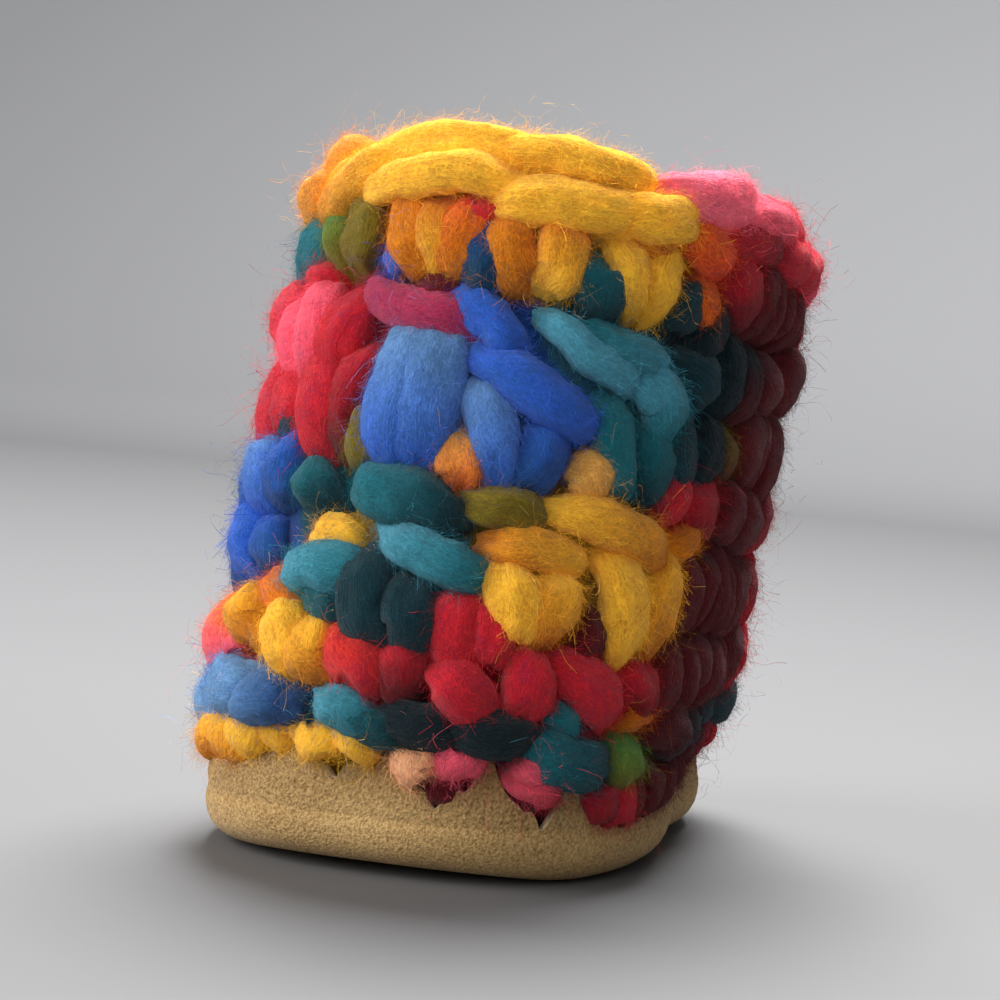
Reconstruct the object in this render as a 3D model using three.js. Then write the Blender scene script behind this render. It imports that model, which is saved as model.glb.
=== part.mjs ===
// A baby's slipper: a cup-shaped suede sole with a nicked edge, a fleece insole, a thick crocheted
// wool upper worked up from that edge in rounds, and a chain-stitch edging round the collar.
// Millimetres, +Z up. The origin is on the floor under the middle of the sole, the toe points to -Y
// and +X is the side on the right of somebody who looks at the toe.
import * as THREE from "three";

// Driving dimensions
const SUEDE = 2; // thickness of the sole's suede
const WALL = 8; // thickness of the crocheted wall, without the raised stitches
const GAP = 0.3; // room left between pieces that meet
const WALL_FOOT = 12; // height of the wall's lowest section
const COLLAR_HEIGHT = 93.5; // height of the collar at the sides
const COLLAR_TILT = 8.5; // the collar is this much higher over the toe and lower over the heel
const HEEL_TAPER = 0.14; // share by which the heel is narrower than the ball
const ARCH_PLACE = 12; // how far behind the origin the inner side is drawn in most
const ARCH_SPREAD = 15; // length of that hollow, to where it has mostly run out
const WALL_TOP = 0.905; // share of the wall's height where the collar edging starts

// Crochet: every round has the same number of stitches, and each stitch gets six columns of points
const STITCHES = 18;
const COLUMNS_PER_STITCH = 6;
const COLUMNS = STITCHES * COLUMNS_PER_STITCH;
const INSOLE_COLUMNS = COLUMNS / 2;

// Suede cup: its edge rises to a point between two stitches and is nicked under each stitch
const EDGE_POINT = 14.6; // mean height of the points
const EDGE_TILT = 1.6; // the points are this much higher on the side of the toe away from +X
const EDGE_TURN = -60; // degrees from the toe to the highest point
const NICK_DEPTH = 4.2;
const NICK_SPREAD = 1.6; // the nicks are this much deeper where the edge is low
const TOE_SPRING = 1.4;
const TOE_SPRING_START = 36; // how far in front of the origin the sole begins to rise
const TOE_SPRING_RUN = 12;

// Fleece insole
const INSOLE_LOW = SUEDE + GAP;
const INSOLE_HIGH = 5;

// The yarn that is tucked down behind the suede's edge
const TUCK_LOW = INSOLE_HIGH + 0.4;
const TUCK_INNER = 6.6; // how far inside the outline its inner face lies
const TUCK_DRAFT = 0.7; // it narrows by this much downwards, as the cup does

// The sections of the upper, one row for each. rise is the share of the wall's height, toe and heel are
// the ends along Y, half is half of the ball width, ball is the Y of the widest place, and toeSquare and
// heelSquare tell how square the ends are (2 is an ellipse). lean is the shift of the whole section to +X,
// bend the further shift of the heel, and arch is how far the side at +X, the inner one, is drawn in.
const SECTIONS = [
  {
    rise: 0, toe: -47, heel: 48, half: 32, ball: -8,
    toeSquare: 2.7, heelSquare: 2.3, lean: 0, bend: 5, arch: 3.5,
  },
  {
    rise: 0.08, toe: -49, heel: 49.5, half: 31.4, ball: -8,
    toeSquare: 2.6, heelSquare: 2.3, lean: 0.9, bend: 5, arch: 3,
  },
  {
    rise: 0.25, toe: -48.5, heel: 49.5, half: 30.2, ball: -6,
    toeSquare: 2.5, heelSquare: 2.3, lean: 2.4, bend: 4, arch: 1.5,
  },
  {
    rise: 0.42, toe: -45.5, heel: 48.5, half: 30.4, ball: -4,
    toeSquare: 2.4, heelSquare: 2.2, lean: 3, bend: 2.5, arch: 0.5,
  },
  {
    rise: 0.6, toe: -41, heel: 47.5, half: 30.6, ball: 0,
    toeSquare: 2.3, heelSquare: 2.2, lean: 4.2, bend: 1.2, arch: 0,
  },
  {
    rise: 0.8, toe: -37, heel: 47, half: 31.2, ball: 3,
    toeSquare: 2.2, heelSquare: 2.2, lean: 5.6, bend: 0, arch: 0,
  },
  {
    rise: 1, toe: -35, heel: 47, half: 31.2, ball: 5,
    toeSquare: 2.2, heelSquare: 2.2, lean: 7.4, bend: 0, arch: 0,
  },
];

// The rounds of crochet on the upper, from the sole up. low and high are shares of the wall's height, proud
// is how far the stitches stand out of the wall, turn is how far the round is moved on, in stitches, and
// legs tells the two shapes apart: two upright legs for each stitch, or a rope that lies along the round.
const ROUNDS = [
  { low: -0.08, high: 0.06, proud: 1.8, turn: 1 / 6, legs: true },
  { low: 0.06, high: 0.135, proud: 1.6, turn: 2 / 3, legs: false },
  { low: 0.135, high: 0.255, proud: 2.4, turn: 2 / 3, legs: true },
  { low: 0.255, high: 0.5, proud: 3, turn: 1 / 6, legs: true },
  { low: 0.5, high: 0.755, proud: 3, turn: 2 / 3, legs: true },
  { low: 0.755, high: WALL_TOP, proud: 2.6, turn: 1 / 6, legs: true },
];
const ROWS_IN_ROUND = [0.1, 0.35, 0.65, 0.92]; // where the rows of points cross a round
const GROOVE = -1.0; // the wall between stitches lies this far behind the mean surface
const LEG_APART = { foot: 0.13, head: 0.25 }; // half the distance between a stitch's legs, in stitches
const LEG_HALF = { foot: 0.17, head: 0.25 }; // half the thickness of a leg, in stitches
const LEG_CLEFT = 0.5; // share of its full depth that the cleft between the two legs has
const ROUND_FLOOR = 0.2; // share of a stitch's relief that is left at the round's ends
const ROPE_DIP = 0.35; // share of a rope's relief that is lost between two stitches
const INNER_RISES = [0.86, 0.72, 0.55, 0.38, 0.22, 0.1];

// Collar edging: a rope of slanted loops that sits on the wall
const EDGING_OUT = 1.6; // it stands out of the wall by this much
const EDGING_IN = WALL + 0.6;
const EDGING_CORNERS = 8;
const EDGING_RELIEF = 0.9;
const EDGING_SLANT = 0.45; // how far a loop's top leads its foot, in stitches

const TAU = Math.PI * 2;
const degrees = THREE.MathUtils.degToRad;
const smoothstep = THREE.MathUtils.smoothstep;
const lerp = THREE.MathUtils.lerp;

// A column of the section table at a share of the height, as a smooth curve through the rows.
function section(rise, column) {
  const last = SECTIONS.length - 1;
  let i = SECTIONS.findIndex((row) => row.rise > rise) - 1;
  if (i < 0) i = rise < 0 ? 0 : last - 1;
  const a = SECTIONS[i];
  const b = SECTIONS[i + 1];
  const span = b.rise - a.rise;
  const slopeAt = (k) => {
    const before = SECTIONS[Math.max(k - 1, 0)];
    const after = SECTIONS[Math.min(k + 1, last)];
    return (after[column] - before[column]) / (after.rise - before.rise);
  };
  const t = THREE.MathUtils.clamp((rise - a.rise) / span, 0, 1);
  const t2 = t * t;
  const t3 = t2 * t;
  return (
    (2 * t3 - 3 * t2 + 1) * a[column] +
    (t3 - 2 * t2 + t) * span * slopeAt(i) +
    (3 * t2 - 2 * t3) * b[column] +
    (t3 - t2) * span * slopeAt(i + 1)
  );
}

const signedPower = (x, power) => Math.sign(x) * Math.abs(x) ** power;

// A point of the upper's mean outer surface. angle is 0 at the toe and a quarter turn at +X.
function wall(angle, rise) {
  const towardsToe = Math.cos(angle);
  const towardsSide = Math.sin(angle);
  const ball = section(rise, "ball");
  const square = section(rise, towardsToe > 0 ? "toeSquare" : "heelSquare");
  const reach = towardsToe > 0 ? ball - section(rise, "toe") : section(rise, "heel") - ball;
  const heelwards = Math.max(0, -towardsToe) ** 2;
  const half = section(rise, "half") * (1 - HEEL_TAPER * heelwards);
  const y = ball - reach * signedPower(towardsToe, 2 / square);
  const hollow = Math.max(0, towardsSide) * Math.exp(-(((y - ARCH_PLACE) / ARCH_SPREAD) ** 2));
  const middle = section(rise, "lean") + section(rise, "bend") * heelwards;
  const x = middle + half * signedPower(towardsSide, 2 / square) - section(rise, "arch") * hollow;
  const top = COLLAR_HEIGHT + COLLAR_TILT * towardsToe;
  return new THREE.Vector3(x, y, WALL_FOOT + rise * (top - WALL_FOOT));
}

// The wall's outward normal, from two short steps along the surface.
function wallNormal(angle, rise) {
  const step = 0.01;
  const along = wall(angle + step, rise).sub(wall(angle - step, rise));
  const up = wall(angle, rise + step).sub(wall(angle, rise - step));
  return along.cross(up).normalize();
}

// Angles of the columns, spaced so that stitches are equally long round the lowest section.
function evenAngles(count) {
  const fine = 2880;
  const lengths = [0];
  for (let i = 1; i <= fine; i++) {
    const here = wall((i * TAU) / fine, 0);
    const before = wall(((i - 1) * TAU) / fine, 0);
    lengths.push(lengths[i - 1] + here.distanceTo(before));
  }
  const angles = [];
  for (let k = 0; k < count; k++) {
    const wanted = (lengths[fine] * k) / count;
    const i = Math.max(1, lengths.findIndex((length) => length >= wanted));
    const share = (wanted - lengths[i - 1]) / (lengths[i] - lengths[i - 1]);
    angles.push(((i - 1 + share) * TAU) / fine);
  }
  return angles;
}
const ANGLES = evenAngles(COLUMNS);

// A point at a height on the lowest section's outline, moved in by inset.
function outline(angle, inset, height) {
  const point = wall(angle, 0);
  const normal = wallNormal(angle, 0).setZ(0).normalize();
  return point.addScaledVector(normal, -inset).setZ(height);
}

// Where a column lies in its stitch, from 0 to 1, in a round that is moved on by turn stitches.
const placeInStitch = (column, turn) => {
  const stitches = column / COLUMNS_PER_STITCH + turn + 0.5;
  return stitches - Math.floor(stitches);
};

// Height of the suede's edge at a column.
function edgeHeight(column) {
  const lift = Math.cos(ANGLES[column] - degrees(EDGE_TURN));
  const place = placeInStitch(column, ROUNDS[0].turn);
  const nick = Math.cos((place - 0.5) * Math.PI) ** 2;
  return EDGE_POINT + EDGE_TILT * lift - (NICK_DEPTH - NICK_SPREAD * lift) * nick;
}

// How far the stitches stand out of the mean surface.
function relief(column, rise) {
  const round = ROUNDS.find((r) => rise <= r.high) ?? ROUNDS.at(-1);
  const height = THREE.MathUtils.clamp((rise - round.low) / (round.high - round.low), 0, 1);
  const place = placeInStitch(column, round.turn);
  const dome = Math.sin(Math.PI * lerp(0.06, 0.94, height));
  if (!round.legs) {
    const dip = ROPE_DIP * Math.cos((place - 0.5) * TAU) * 0.5 + ROPE_DIP * 0.5;
    return lerp(GROOVE, round.proud, dome * (1 - dip));
  }
  const apart = lerp(LEG_APART.foot, LEG_APART.head, height);
  const half = lerp(LEG_HALF.foot, LEG_HALF.head, height);
  const off = (Math.abs(place - 0.5) - apart) / half;
  const cleft = off < 0 ? LEG_CLEFT : 1;
  const leg = Math.sqrt(Math.max(0, 1 - cleft * off * off));
  return lerp(GROOVE, round.proud, leg * (ROUND_FLOOR + (1 - ROUND_FLOOR) * dome));
}

// A solid from rings of points, each ring going round the slipper. The rings are joined in order. A closed
// loft joins its last ring to its first, and an open one ends in a flat fan at each end.
function loft(rings, closed) {
  const count = rings[0].length;
  const points = rings.flat();
  const triangles = [];
  const bands = closed ? rings.length : rings.length - 1;
  for (let r = 0; r < bands; r++) {
    const low = r * count;
    const high = ((r + 1) % rings.length) * count;
    for (let c = 0; c < count; c++) {
      const next = (c + 1) % count;
      triangles.push(low + c, low + next, high + next, low + c, high + next, high + c);
    }
  }
  if (!closed) {
    const middleOf = (ring) => {
      const middle = ring.reduce((sum, p) => sum.add(p), new THREE.Vector3());
      return points.push(middle.divideScalar(ring.length)) - 1;
    };
    const first = middleOf(rings[0]);
    const end = middleOf(rings.at(-1));
    const lastRow = (rings.length - 1) * count;
    for (let c = 0; c < count; c++) {
      const next = (c + 1) % count;
      triangles.push(first, next, c, end, lastRow + c, lastRow + next);
    }
  }
  const geometry = new THREE.BufferGeometry().setFromPoints(points);
  geometry.setIndex(triangles);
  geometry.computeVertexNormals();
  return geometry;
}

const columnsOf = (make) => ANGLES.map((angle, column) => make(angle, column));

// A point of the outline, moved in by inset, at a height over the sole's underside, which rises at the toe.
function onSole(angle, inset, height) {
  const point = outline(angle, inset, height);
  const end = TOE_SPRING_START + TOE_SPRING_RUN;
  return point.setZ(height + TOE_SPRING * smoothstep(-point.y, TOE_SPRING_START, end));
}

// Suede sole: up the outside of the cup from the flat bottom to the nicked edge, and down the inside.
function soleGeometry() {
  const OUTSIDE = [
    { inset: 12, height: 0 },
    { inset: 5, height: 0 },
    { inset: 2, height: 1.3 },
    { inset: 0.5, height: 3.6 },
    { inset: 0, height: 6.6 },
  ];
  const INSIDE = [
    { inset: SUEDE, height: 6.6 },
    { inset: SUEDE + 0.6, height: 4.3 },
    { inset: SUEDE + 2.4, height: SUEDE + 0.5 },
    { inset: SUEDE + 5, height: SUEDE },
    { inset: 12, height: SUEDE },
  ];
  const raised = ({ inset, height }) => columnsOf((angle) => onSole(angle, inset, height));
  const edge = (inset) => columnsOf((angle, column) => outline(angle, inset, edgeHeight(column)));
  return loft([...OUTSIDE.map(raised), edge(0), edge(SUEDE), ...INSIDE.map(raised)], false);
}

// Fleece insole: a pad with a rounded edge on the floor of the cup.
function insoleGeometry() {
  const LAYERS = [
    { inset: 7.6, height: INSOLE_LOW },
    { inset: 5.6, height: INSOLE_LOW + 0.9 },
    { inset: 5.4, height: INSOLE_HIGH - 0.9 },
    { inset: 6.6, height: INSOLE_HIGH },
  ];
  const angles = evenAngles(INSOLE_COLUMNS);
  const ringOf = ({ inset, height }) => angles.map((angle) => onSole(angle, inset, height));
  return loft(LAYERS.map(ringOf), false);
}

// A point on the level top of the wall, moved out of its outer face.
function ledge(angle, out) {
  const normal = wallNormal(angle, WALL_TOP).setZ(0).normalize();
  return wall(angle, WALL_TOP).addScaledVector(normal, out);
}

// Crocheted upper: one wall, from the yarn tucked in behind the suede's edge, out over that edge, up the
// outside over the stitches, across the top and down the inside.
function upperGeometry() {
  const tuckOuter = SUEDE + GAP;
  const outer = (rise) =>
    columnsOf((angle, column) => {
      const normal = wallNormal(angle, rise);
      return wall(angle, rise).addScaledVector(normal, relief(column, rise));
    });
  const inner = (rise) =>
    columnsOf((angle) => wall(angle, rise).addScaledVector(wallNormal(angle, rise), -WALL));
  const footOuter = columnsOf((angle, column) =>
    outline(angle, -relief(column, 0), edgeHeight(column) + GAP),
  );
  const footInner = columnsOf((angle, column) =>
    outline(angle, tuckOuter, edgeHeight(column) + GAP),
  );
  const rises = ROUNDS.slice(1).flatMap((round) =>
    ROWS_IN_ROUND.map((share) => lerp(round.low, round.high, share)),
  );
  return loft(
    [
      columnsOf((angle) => onSole(angle, TUCK_INNER, TUCK_LOW)),
      columnsOf((angle) => onSole(angle, tuckOuter + TUCK_DRAFT, TUCK_LOW)),
      footInner,
      footOuter,
      ...rises.map(outer),
      columnsOf((angle) => ledge(angle, 0)),
      columnsOf((angle) => ledge(angle, -WALL)),
      ...INNER_RISES.map(inner),
    ],
    true,
  );
}

// Collar edging: an oval section, swept round the top of the wall, with the loops of the chain raised on it.
function collarEdgingGeometry() {
  const ring = (k) =>
    columnsOf((angle, column) => {
      const turn = ((k + 0.5) * TAU) / EDGING_CORNERS;
      const flat = Math.cos(TAU / EDGING_CORNERS / 2);
      const height = wall(angle, 1).z - wall(angle, WALL_TOP).z - GAP;
      const upShare = (1 - Math.cos(turn) / flat) / 2;
      const place = placeInStitch(column, EDGING_SLANT * upShare);
      const dip = EDGING_RELIEF * (1 - Math.sin(place * Math.PI)) * upShare;
      const halfAcross = (EDGING_OUT + EDGING_IN) / 2 - dip;
      const middle = (EDGING_OUT - EDGING_IN) / 2;
      const point = ledge(angle, middle + (Math.sin(turn) / flat) * halfAcross);
      return point.setZ(point.z + GAP + upShare * (height - dip));
    });
  return loft(Array.from({ length: EDGING_CORNERS }, (_, k) => ring(k)), true);
}

function piece(name, geometry, colour, roughness) {
  const material = new THREE.MeshStandardMaterial({ color: colour, roughness, metalness: 0 });
  const mesh = new THREE.Mesh(geometry, material);
  mesh.name = name;
  return mesh;
}

const slipper = new THREE.Group();
slipper.add(
  piece("sole", soleGeometry(), "#b39a68", 0.95),
  piece("insole", insoleGeometry(), "#e3d8c0", 1),
  piece("upper", upperGeometry(), "#c1273a", 1),
  piece("collar_edging", collarEdgingGeometry(), "#eeb02c", 1),
);
export default slipper;
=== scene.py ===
"""A baby's slipper in crocheted roving wool on a suede cup sole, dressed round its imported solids."""

import logging
import math
from dataclasses import dataclass, field
from enum import Enum
from typing import Any

import bpy
import numpy as np
from mathutils import Matrix, Vector, noise


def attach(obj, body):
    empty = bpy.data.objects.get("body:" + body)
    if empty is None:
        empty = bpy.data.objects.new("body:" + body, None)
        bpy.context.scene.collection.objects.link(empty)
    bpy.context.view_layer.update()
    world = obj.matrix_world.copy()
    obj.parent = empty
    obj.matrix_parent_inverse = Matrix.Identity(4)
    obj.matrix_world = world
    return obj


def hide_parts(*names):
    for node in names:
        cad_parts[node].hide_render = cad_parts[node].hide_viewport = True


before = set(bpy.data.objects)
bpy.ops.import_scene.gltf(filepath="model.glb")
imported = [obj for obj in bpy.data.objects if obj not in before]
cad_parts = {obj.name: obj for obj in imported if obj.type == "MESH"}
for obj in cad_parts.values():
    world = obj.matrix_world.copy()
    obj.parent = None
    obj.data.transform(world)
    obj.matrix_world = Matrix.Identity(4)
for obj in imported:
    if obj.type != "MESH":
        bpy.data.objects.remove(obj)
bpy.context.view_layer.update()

MM = 0.001
BODY = "root"
STITCHES = 18
TAU = 2 * math.pi

log = logging.getLogger("slipper")


def linear(code: str) -> tuple[float, float, float, float]:
    """Turns a colour code into Blender's linear colour.

    Args:
        code: Six hexadecimal digits, red, green and blue.

    Returns:
        The linear colour, with an alpha of 1.
    """
    shares = [int(code[k:k + 2], 16) / 255 for k in (0, 2, 4)]
    lin = [s / 12.92 if s <= 0.04045 else ((s + 0.055) / 1.055) ** 2.4 for s in shares]
    return (lin[0], lin[1], lin[2], 1.0)


def between(low: Any, high: Any, share: Any) -> Any:
    """The value at a share of the way from low to high."""
    return low + (high - low) * share


class Wool(Enum):
    """The colours that the wool runs through."""

    YELLOW = "fcc034"
    AMBER = "d67e0e"
    ORANGE = "ea6812"
    SCARLET = "e03824"
    RED = "c81c2c"
    # Dark red yarn, made darker still: painted shade on the slipper's right side
    CRIMSON = "5e0711"
    ROSE = "b43056"
    PINK = "f0586e"
    # A lighter pink: painted light on the top of the chain at the right
    LIGHT_PINK = "ff7488"
    # Peach yarn made paler: painted light on the edge's lobes, which the rope shades
    PEACH = "fcba88"
    TAN = "e2a64e"
    BLUE = "2c60c4"
    LIGHT_BLUE = "6692c0"
    NAVY = "1b4a86"
    TEAL = "126e7a"
    LIGHT_TEAL = "4c9ab0"
    # Dark teal yarns, made darker still: painted shade in the creases as well as yarn colour
    DEEP_TEAL = "06333d"
    DARK_TEAL = "031c24"
    OLIVE = "7c6a16"
    GREEN = "528c3a"

    @property
    def colour(self) -> tuple[float, float, float, float]:
        """The linear colour."""
        return linear(self.value)


class Part(Enum):
    """The rounds of crochet, named by where they lie, from the sole up."""

    EDGE = "edge"
    ROPE = "rope"
    FOOT = "foot"
    VAMP = "vamp"
    ANKLE = "ankle"
    TEETH = "teeth"
    CHAIN = "chain"
    INSIDE = "inside"


class Slot(Enum):
    """The record's material slots."""

    SUEDE = "suede"
    FLEECE = "fleece"
    WOOL = "wool"
    EDGING = "edging_wool"


@dataclass(frozen=True)
class Section:
    """A level section of the last.

    rise is the share of the wall's height, toe and heel are the ends along Y, half is half of the ball
    width and ball the Y of the widest place, all in millimetres. toe_square and heel_square tell how square
    the ends are, lean shifts the section to +X, bend shifts its heel further, and arch draws the inner
    side in.
    """

    rise: float
    toe: float
    heel: float
    half: float
    ball: float
    toe_square: float
    heel_square: float
    lean: float
    bend: float
    arch: float


@dataclass
class Last:
    """The form that the slipper is made round, in millimetres: its mean outer surface.

    foot and collar are the heights of the wall's ends, and tilt raises the collar at the toe. heel_taper
    narrows the heel, and the arch is drawn in about arch_place on Y. fine_steps is how finely the lowest
    section is measured, and normal_step is the step that the surface's normals are taken over.
    """

    foot: float = 12.0
    collar: float = 93.5
    tilt: float = 8.5
    heel_taper: float = 0.14
    arch_place: float = 12.0
    arch_spread: float = 15.0
    fine_steps: int = 2880
    normal_step: float = 0.01
    sections: tuple[Section, ...] = (
        Section(0.00, -47.0, 48.0, 32.0, -8, 2.7, 2.3, 0.0, 5.0, 3.5),
        Section(0.08, -49.0, 49.5, 31.4, -8, 2.6, 2.3, 0.9, 5.0, 3.0),
        Section(0.25, -48.5, 49.5, 30.2, -6, 2.5, 2.3, 2.4, 4.0, 1.5),
        Section(0.42, -45.5, 48.5, 30.4, -4, 2.4, 2.2, 3.0, 2.5, 0.5),
        Section(0.60, -41.0, 47.5, 30.6, 0, 2.3, 2.2, 4.2, 1.2, 0.0),
        Section(0.80, -37.0, 47.0, 31.2, 3, 2.2, 2.2, 5.6, 0.0, 0.0),
        Section(1.00, -35.0, 47.0, 31.2, 5, 2.2, 2.2, 7.4, 0.0, 0.0),
    )

    def __post_init__(self) -> None:
        """Works out where equal stitches lie round the lowest section."""
        self.fine_angles = np.linspace(0, TAU, self.fine_steps + 1)
        points = self.wall(self.fine_angles, 0.0)
        steps = np.linalg.norm(np.diff(points, axis=0), axis=1)
        self.fine_lengths = np.concatenate([[0.0], np.cumsum(steps)])
        self.stitch_share = STITCHES / self.fine_lengths[-1]
        self.rise_share = 1 / (self.collar - self.foot)

    def column(self, name: str, rise: np.ndarray) -> np.ndarray:
        """A smooth curve through one column of the section table.

        Args:
            name: The column.
            rise: Shares of the wall's height.

        Returns:
            The column's value at each of them.
        """
        rises = np.array([s.rise for s in self.sections])
        values = np.array([getattr(s, name) for s in self.sections])
        slopes = np.empty_like(values)
        slopes[1:-1] = (values[2:] - values[:-2]) / (rises[2:] - rises[:-2])
        slopes[0] = (values[1] - values[0]) / (rises[1] - rises[0])
        slopes[-1] = (values[-1] - values[-2]) / (rises[-1] - rises[-2])
        rise = np.clip(rise, 0, 1)
        k = np.clip(np.searchsorted(rises, rise, side="right") - 1, 0, len(rises) - 2)
        span = rises[k + 1] - rises[k]
        t = (rise - rises[k]) / span
        return (
            (2 * t**3 - 3 * t**2 + 1) * values[k]
            + (t**3 - 2 * t**2 + t) * span * slopes[k]
            + (3 * t**2 - 2 * t**3) * values[k + 1]
            + (t**3 - t**2) * span * slopes[k + 1]
        )

    def wall(self, angle: Any, rise: Any) -> np.ndarray:
        """Points of the mean outer surface.

        Args:
            angle: Angles round the slipper, 0 at the toe and a quarter turn at +X.
            rise: Shares of the wall's height.

        Returns:
            An array of points.
        """
        angle, rise = np.broadcast_arrays(np.asarray(angle, float), np.asarray(rise, float))
        toewards = np.cos(angle)
        sidewards = np.sin(angle)
        ball = self.column("ball", rise)
        front = toewards > 0
        square = np.where(front, self.column("toe_square", rise), self.column("heel_square", rise))
        reach = np.where(front, ball - self.column("toe", rise), self.column("heel", rise) - ball)
        heelwards = np.maximum(0, -toewards) ** 2
        half = self.column("half", rise) * (1 - self.heel_taper * heelwards)
        y = ball - reach * np.sign(toewards) * np.abs(toewards) ** (2 / square)
        hollow = np.maximum(0, sidewards) * np.exp(-(((y - self.arch_place) / self.arch_spread) ** 2))
        middle = self.column("lean", rise) + self.column("bend", rise) * heelwards
        x = middle + half * np.sign(sidewards) * np.abs(sidewards) ** (2 / square)
        x = x - self.column("arch", rise) * hollow
        top = self.collar + self.tilt * toewards
        return np.stack([x, y, self.foot + rise * (top - self.foot)], axis=-1)

    def normal(self, angle: Any, rise: Any) -> np.ndarray:
        """The surface's outward normals.

        Args:
            angle: Angles round the slipper.
            rise: Shares of the wall's height.

        Returns:
            An array of unit vectors.
        """
        step = self.normal_step
        angle, rise = np.broadcast_arrays(np.asarray(angle, float), np.asarray(rise, float))
        along = self.wall(angle + step, rise) - self.wall(angle - step, rise)
        low = np.clip(rise - step, 0, 1 - 2 * step)
        up = self.wall(angle, low + 2 * step) - self.wall(angle, low)
        across = np.cross(along, up)
        return across / np.linalg.norm(across, axis=-1, keepdims=True)

    def angle_at(self, stitch: Any) -> np.ndarray:
        """The angle of a place that is counted in stitches from the toe towards +X."""
        wanted = np.mod(np.asarray(stitch, float), STITCHES) / STITCHES * self.fine_lengths[-1]
        return np.interp(wanted, self.fine_lengths, self.fine_angles)

    def place(self, stitch: Any, rise: Any, out: Any) -> np.ndarray:
        """Points off the surface.

        Args:
            stitch: Places round the slipper, in stitches from the toe.
            rise: Shares of the wall's height.
            out: Distances out of the surface, in millimetres.

        Returns:
            An array of points.
        """
        angle = self.angle_at(stitch)
        return self.wall(angle, rise) + self.normal(angle, rise) * np.asarray(out, float)[..., None]

    def outline(self, stitch: Any, inset: Any, height: Any) -> np.ndarray:
        """Points on the lowest section's outline.

        Args:
            stitch: Places round the slipper, in stitches from the toe.
            inset: How far the outline is moved in, in millimetres.
            height: The points' heights.

        Returns:
            An array of points.
        """
        angle = self.angle_at(stitch)
        normal = self.normal(angle, 0.0)
        normal[..., 2] = 0
        normal /= np.linalg.norm(normal, axis=-1, keepdims=True)
        points = self.wall(angle, 0.0) - normal * np.asarray(inset, float)[..., None]
        points[..., 2] = height
        return points


@dataclass(frozen=True)
class Strand:
    """One visible stretch of yarn on the wall.

    The ends are places in stitches from the toe and shares of the wall's height. width is in millimetres,
    lift is how far the strand lies out of the surface, and bow how far it curves up, as a share of the
    wall's height. The strand runs from tint to tint_end, if that is given, and nap is how dense its fibres
    are. sink is the share of the yarn's dive that its ends go in by, less than 0 on the inside of the wall.
    """

    from_stitch: float
    from_rise: float
    to_stitch: float
    to_rise: float
    width: float
    tint: Wool
    tint_end: Wool | None = None
    lift: float = 0.6
    bow: float = 0.0
    nap: float = 1.0
    sink: float = 1.0


class Nodes:
    """Adds nodes to a node tree and joins them."""

    def __init__(self, tree: bpy.types.NodeTree) -> None:
        """Keeps the tree."""
        self.tree = tree

    def add(self, kind: str, inputs: dict[Any, Any] | None = None, **settings: Any) -> bpy.types.Node:
        """Adds a node.

        Args:
            kind: The node's type.
            inputs: Values, or other nodes' outputs, by socket name or number.
            settings: The node's own properties.

        Returns:
            The new node.
        """
        node = self.tree.nodes.new(kind)
        for name, value in settings.items():
            setattr(node, name, value)
        for key, value in (inputs or {}).items():
            socket = node.inputs[key]
            if isinstance(value, bpy.types.NodeSocket):
                self.tree.links.new(value, socket)
            else:
                socket.default_value = value
        return node

    def math(self, operation: str, first: Any, second: Any = 0.0, third: Any = 0.0) -> bpy.types.NodeSocket:
        """The result of a sum on up to three numbers."""
        node = self.add("ShaderNodeMath", {0: first, 1: second, 2: third}, operation=operation)
        return node.outputs[0]

    def vector(self, operation: str, first: Any, second: Any = (0, 0, 0)) -> bpy.types.NodeSocket:
        """The result of a sum on two vectors."""
        return self.add("ShaderNodeVectorMath", {0: first, 1: second}, operation=operation).outputs[0]

    def scaled(self, vector: bpy.types.NodeSocket, scale: Any) -> bpy.types.NodeSocket:
        """A vector times a number."""
        node = self.add("ShaderNodeVectorMath", {0: vector, "Scale": scale}, operation="SCALE")
        return node.outputs[0]

    def noise(self, spot: Any, scale: float, detail: float, distortion: float = 0.0) -> bpy.types.NodeSocket:
        """A noise at a place, about 0.5."""
        sizes = {"Vector": spot, "Scale": scale, "Detail": detail, "Distortion": distortion}
        return self.add("ShaderNodeTexNoise", sizes).outputs[0]

    def mixed(self, share: Any, first: Any, second: Any) -> bpy.types.NodeSocket:
        """A colour at a share of the way from one to another."""
        inputs = {"Factor": share, 6: first, 7: second}
        return self.add("ShaderNodeMix", inputs, data_type="RGBA").outputs[2]

    def own(self, name: str, output: str) -> bpy.types.NodeSocket:
        """An attribute of the mesh that a material lies on."""
        return self.add("ShaderNodeAttribute", attribute_name=name).outputs[output]

    def ramp(self, value: Any, stops: tuple[tuple[float, str], ...]) -> bpy.types.NodeSocket:
        """A colour that changes with a number.

        Args:
            value: The number.
            stops: Places from 0 to 1, each with its colour code.

        Returns:
            The colour.
        """
        node = self.add("ShaderNodeValToRGB", {"Fac": value})
        elements = node.color_ramp.elements
        for place, _ in stops[2:]:
            elements.new(place)
        for element, (place, code) in zip(elements, stops):
            element.position = place
            element.color = linear(code)
        return node.outputs[0]


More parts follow.
